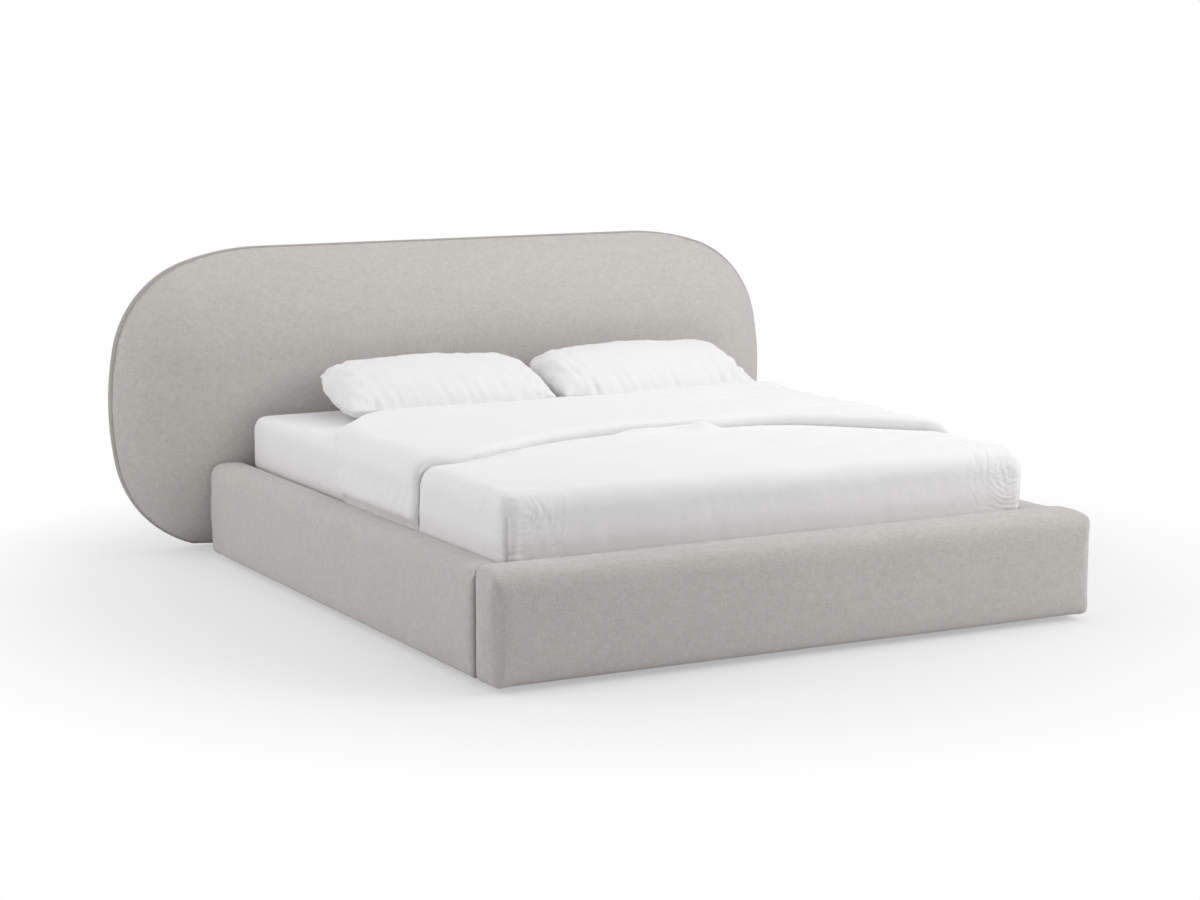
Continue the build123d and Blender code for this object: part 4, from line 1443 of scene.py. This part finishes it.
@dataclass
class Pillow:
    """Pillow in its case, with drawn-out corners, a sewn hem and gathers along the seams.

    The side is -1 for the left pillow and 1 for the right one.
    """

    side: int
    voxel: float = 0.006
    smoothing: int = 3
    air: Air = Air(pressure=2.0, cap=0.003, frames=10)
    fill: float = 0.8
    rest_gap: float = 0.0002
    tilt: float = math.radians(12.0)
    depth_share: float = 0.84
    end_fill: float = 0.5
    end_start_power: int = 6
    end_stop_power: int = 14
    back_draw: float = 0.13
    back_power: float = 2.2
    end_draw: float = 0.14
    draw_power: int = 8
    ear_reach: float = 0.070
    ear_length: float = 0.010
    ear_side_share: float = 0.35
    hollows: Creases = Creases(0.17, 0.004, 6.0)
    ripple_pitch: float = 0.027
    ripple_height: float = 0.0078
    ripple_start: Band = (0.03, 0.07)
    ripple_end: Band = (0.10, 0.24)
    ripple_squash: float = 0.9
    rays: float = 1.3
    ray_lean: float = 4.0
    corner_seed: float = 1.3
    side_seed: float = 2.0
    gather_pitch: float = 0.028
    gather_length: float = 0.17
    gather_lean: float = 6.0
    gather_seed: float = 4.0
    gather_height: float = 0.0070
    gather_band: Band = (0.25, 0.75)
    gather_end_share: float = 0.8
    hem_width: float = 0.0035
    hem_height: float = 0.0022
    hem_band: Band = (0.80, 0.93)

    def __post_init__(self) -> None:
        """Reads the box of the pillow's CAD solid."""
        self.node = "pillow_left" if self.side < 0 else "pillow_right"
        low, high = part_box(self.node)
        self.floor = low.z + self.rest_gap
        self.centre = np.array((low + high) / 2)
        self.half = (high.x - low.x) / 2
        self.depth = (high.y - low.y) / 2

    def build(self) -> None:
        """Builds the pillow over its CAD solid's form."""
        piece = node_copy(f"{self.node}_case", self.node)
        remesh(piece, self.voxel, self.smoothing)
        put_coordinates(piece.data, self.ears(self.plump(coordinates(piece.data))))
        shape_surface(piece, self.creases)
        swell(piece, self.air)
        places = coordinates(piece.data)
        places[:, 2] = np.maximum(places[:, 2], self.floor)
        put_coordinates(piece.data, places)
        finish_piece(piece, Palette.PILLOW, "platform", (self.node,))

    def local(self, places: np.ndarray) -> tuple[np.ndarray, np.ndarray, np.ndarray]:
        """Turns places into the pillow's own, which is tilted.

        Args:
            places: places, one row each.

        Returns:
            Distances from the centre along the pillow, across it and through it.
        """
        x, y, z = (places - self.centre).T
        cos, sin = math.cos(self.tilt), math.sin(self.tilt)
        return x, y * cos + z * sin, z * cos - y * sin

    def plump(self, places: np.ndarray) -> np.ndarray:
        """Fills the ends out and draws the back corners in.

        Args:
            places: places, one row each.

        Returns:
            The new places.
        """
        x, y, through = self.local(places)
        along = np.clip(np.abs(x) / self.half, 0.0, 1.0)
        back = np.clip(y / self.depth, 0.0, 1.0)
        x = x * (1.0 - self.back_draw * back ** self.back_power)
        y = np.where(y > 0, y * (1.0 - self.end_draw * along ** self.draw_power), y)
        end = along ** self.end_start_power * (1.0 - along ** self.end_stop_power)
        through = through * (1.0 + self.end_fill * end)
        cos, sin = math.cos(self.tilt), math.sin(self.tilt)
        return self.centre + np.stack([x, y * cos - through * sin, through * cos + y * sin], axis=1)

    def corners(self) -> list[tuple[float, float]]:
        """Corners of the case, along and across it."""
        depth = self.depth / math.cos(self.tilt) * self.depth_share
        return [(sx * self.half, sy * depth) for sx in (-1, 1) for sy in (-1, 1)]

    def ears(self, places: np.ndarray) -> np.ndarray:
        """Draws the front corners out.

        Args:
            places: places, one row each.

        Returns:
            The new places.
        """
        x, y, _ = self.local(places)
        moved = places.copy()
        for cx, cy in self.corners():
            near = 1.0 - smooth((0.0, self.ear_reach), np.hypot(x - cx, y - cy))
            push = near * self.ear_length * (cy < 0)
            moved[:, 0] += push * np.sign(cx) * self.ear_side_share
            moved[:, 1] += push * np.sign(cy) * math.cos(self.tilt)
            moved[:, 2] += push * np.sign(cy) * math.sin(self.tilt)
        return moved

    def creases(self, places: np.ndarray) -> np.ndarray:
        """Height of the case's creases, gathers and hem.

        Args:
            places: places, one row each.

        Returns:
            The height.
        """
        x, y, through = self.local(places)
        out_x = np.abs(x) / self.half
        out_y = np.abs(y) / self.depth
        height = self.hollows.at(places, self.side)
        for number, (cx, cy) in enumerate(self.corners()):
            distance = np.hypot(x - cx, (y - cy) * self.ripple_squash)
            turn = np.arctan2((y - cy) * np.sign(-cy), (x - cx) * np.sign(-cx))
            lean = distance * self.ray_lean + self.corner_seed * number + self.side_seed * self.side
            rings = np.stack([distance / self.ripple_pitch, turn * self.rays, lean], axis=1)
            fall = smooth(self.ripple_start, distance) * (1.0 - smooth(self.ripple_end, distance))
            height = height + waves(rings) * fall * self.ripple_height
        seed = np.full_like(x, self.gather_seed * self.side)
        steps = x / self.gather_pitch + y * self.gather_lean
        gather = np.stack([steps, y / self.gather_length, seed], axis=1)
        edge = smooth(self.gather_band, np.maximum(out_y, out_x * self.gather_end_share))
        hem = ridge(through, 0.0, self.hem_width) * smooth(self.hem_band, np.maximum(out_y, out_x))
        return height + waves(gather) * self.gather_height * edge + hem * self.hem_height


# Fittings


@dataclass(frozen=True)
class PullLoop:
    """Webbing loop for lifting the platform."""

    edge: float = 0.0006
    edge_segments: int = 2

    def build(self) -> None:
        """Builds the loop over its CAD solid's form, with rounded edges."""
        piece = node_copy("pull_loop_webbing", "pull_loop")
        modifier = piece.modifiers.new("Edge", "BEVEL")
        modifier.width = self.edge
        modifier.segments = self.edge_segments
        finish_piece(piece, Palette.WEBBING, "platform", ("pull_loop",))


def dress_carcass() -> None:
    """Finishes the boards, battens, brackets and glides of the frame."""
    dress_nodes(Palette.BOARD, "side_board_*")
    dress_nodes(Palette.CROSS_BOARD, "head_board", "footboard_board", "headboard_mounts")
    dress_nodes(Palette.BATTEN, "side_ledger_*", "centre_bearer")
    dress_nodes(Palette.CROSS_BATTEN, "cross_ledgers", "platform_rests")
    dress_nodes(Palette.FLOOR_BOARD, "floor_panel_*")
    dress_nodes(Palette.PLASTIC, "frame_glides", "bearer_glides")
    dress_nodes(Palette.ZINC, "corner_brackets", "corner_bolts", "mount_plates", "mount_bolts",
                "lift_base_bolts")


def dress_platform() -> None:
    """Finishes the tubes, slats and holders of the platform."""
    dress_nodes(Palette.FRAME_STEEL, "platform_foot_tube", "platform_head_tube", "platform_centre_tube",
                "platform_tube_*", "mattress_stop_bar", "lift_plate_left", "lift_plate_right")
    dress_nodes(Palette.SLAT, "slats_*")
    dress_nodes(Palette.PLASTIC, "slat_holders_*")


def dress_lift() -> None:
    """Finishes the arms, pins and gas struts of the lift."""
    dress_nodes(Palette.LIFT_STEEL, "lift_base_left", "lift_base_right", "main_arm_*", "guide_arm_*")
    dress_nodes(Palette.ZINC, "lift_base_pins_*", "lift_plate_pins_*")
    dress_nodes(Palette.STRUT_BODY, "strut_cylinder_*")
    dress_nodes(Palette.STRUT_ROD, "strut_rod_*")


# Studio


def stand(name: str, data: bpy.types.ID, place: Triple, ahead: Vector) -> bpy.types.Object:
    """Puts a camera or a lamp in the scene.

    Args:
        name: name of the object.
        data: the camera or lamp.
        place: where it stands.
        ahead: which way it looks.

    Returns:
        The object.
    """
    made = bpy.data.objects.new(name, data)
    bpy.context.scene.collection.objects.link(made)
    made.location = place
    made.rotation_mode = "QUATERNION"
    made.rotation_quaternion = ahead.to_track_quat("-Z", "Y")
    return made


@dataclass(frozen=True)
class Softbox:
    """Large square lamp aimed at a point."""

    name: str
    place: Triple
    aim: Triple
    size: float
    power: float

    def build(self) -> None:
        """Adds the lamp."""
        data = bpy.data.lights.new(self.name, "AREA")
        data.shape = "SQUARE"
        data.size = self.size
        data.energy = self.power
        stand(self.name, data, self.place, Vector(self.aim) - Vector(self.place))


@dataclass(frozen=True)
class Studio:
    """Pale floor, soft light and the camera."""

    eye: Triple = (-4.1654, -7.669, 1.8142)
    azimuth: float = math.radians(-28.29)
    elevation: float = math.radians(8.94)
    lens: float = 80.0
    sensor: float = 36.0
    sky: float = 0.38
    floor_level: float = 0.80
    floor_darkest: float = 0.995
    floor_matt: Spread = (0.75, 0.1)
    floor_grain_depth: float = 0.0002
    floor_reach: float = 40.0
    floor_sides: int = 96
    fade_least: float = 0.42
    fade_band: Band = (1.35, 2.6)
    softboxes: tuple[Softbox, ...] = (
        Softbox("left_softbox", (-5.0, -0.4, 1.9), (0.0, -0.2, 0.5), 3.0, 40.0),
        Softbox("front_softbox", (4.0, -4.0, 3.2), (0.0, 0.2, 0.5), 3.0, 128.0),
        Softbox("right_softbox", (4.0, -1.0, 4.6), (0.0, 0.2, 0.5), 3.0, 58.0),
        Softbox("top_softbox", (0.6, -0.6, 3.2), (0.2, 1.2, 0.8), 2.0, 10.0),
        Softbox("ceiling_softbox", (0.0, 0.0, 5.0), (0.0, 0.0, 0.3), 4.0, 34.0),
        Softbox("rear_softbox", (-4.5, 2.5, 4.0), (0.0, -0.2, 0.4), 3.0, 62.0),
    )

    def build(self) -> None:
        """Builds the whole studio."""
        self.camera()
        self.world()
        self.floor()
        for softbox in self.softboxes:
            softbox.build()
        bpy.context.scene.view_settings.view_transform = "Standard"

    def camera(self) -> None:
        """Camera at the photograph's viewing angle."""
        data = bpy.data.cameras.new("camera")
        data.lens = self.lens
        data.sensor_width = self.sensor
        level = math.cos(self.elevation)
        ahead = Vector((-math.sin(self.azimuth) * level, math.cos(self.azimuth) * level,
                        -math.sin(self.elevation)))
        bpy.context.scene.camera = stand("camera", data, self.eye, ahead)

    def world(self) -> None:
        """Even sky, white where the camera or a reflection sees it."""
        world = bpy.data.worlds.new("studio_sky")
        world.use_nodes = True
        g = Graph(world.node_tree)
        camera = g.node("ShaderNodeLightPath", {}, {}, "Is Camera Ray")
        seen = g.maths("MAXIMUM", camera, Wire(g, camera.node, "Is Glossy Ray"))
        lit = g.node("ShaderNodeBackground", {}, {"Color": WHITE, "Strength": self.sky})
        white = g.node("ShaderNodeBackground", {}, {"Color": WHITE})
        shown = g.node("ShaderNodeMixShader", {}, {0: seen, 1: lit, 2: white})
        g.node("ShaderNodeOutputWorld", {}, {"Surface": shown})
        bpy.context.scene.world = world

    def floor(self) -> None:
        """Round floor that fades to white away from the bed."""
        bm = bmesh.new()
        bmesh.ops.create_circle(bm, cap_ends=True, cap_tris=False, segments=self.floor_sides,
                                radius=self.floor_reach)
        piece = new_object("studio_floor", bm, False)
        g = Surface("studio_floor")
        spot = g.node("ShaderNodeTexCoord", {}, {}, "Object")
        distance = g.node("ShaderNodeVectorMath", {"operation": "LENGTH"}, {0: spot}, "Value")
        fade = g.spread((self.fade_least, 1.0 - self.fade_least), g.ramp(distance, *self.fade_band))
        seen = g.node("ShaderNodeLightPath", {}, {}, "Is Camera Ray")
        grain = g.noise(scale=40.0, detail=2.0)
        pale = (self.floor_level,) * 3
        colour = g.mix(grain, rgba(pale, self.floor_darkest), rgba(pale))
        normal = g.bump(grain, self.floor_grain_depth, strength=0.2)
        g.dress(colour, g.spread(self.floor_matt, grain), normal, Specular_IOR_Level=0.2)
        glow = g.node("ShaderNodeEmission", {}, {})
        g.show(g.node("ShaderNodeMixShader", {}, {0: fade * seen, 1: g.shader, 2: glow}))
        piece.data.materials.append(g.material)


def main() -> None:
    """Builds the bed and the studio, and reports each piece."""
    logging.basicConfig(level=logging.INFO, format="%(name)s: %(message)s")
    drape = Drape()
    Upholstery().build()
    Mattress().build()
    DuvetBody(drape).build()
    DuvetFold(drape).build()
    Pillow(-1).build()
    Pillow(1).build()
    PullLoop().build()
    dress_carcass()
    dress_platform()
    dress_lift()
    Studio().build()
    LOG.info("sizes written")


if __name__ == "__main__":
    main()
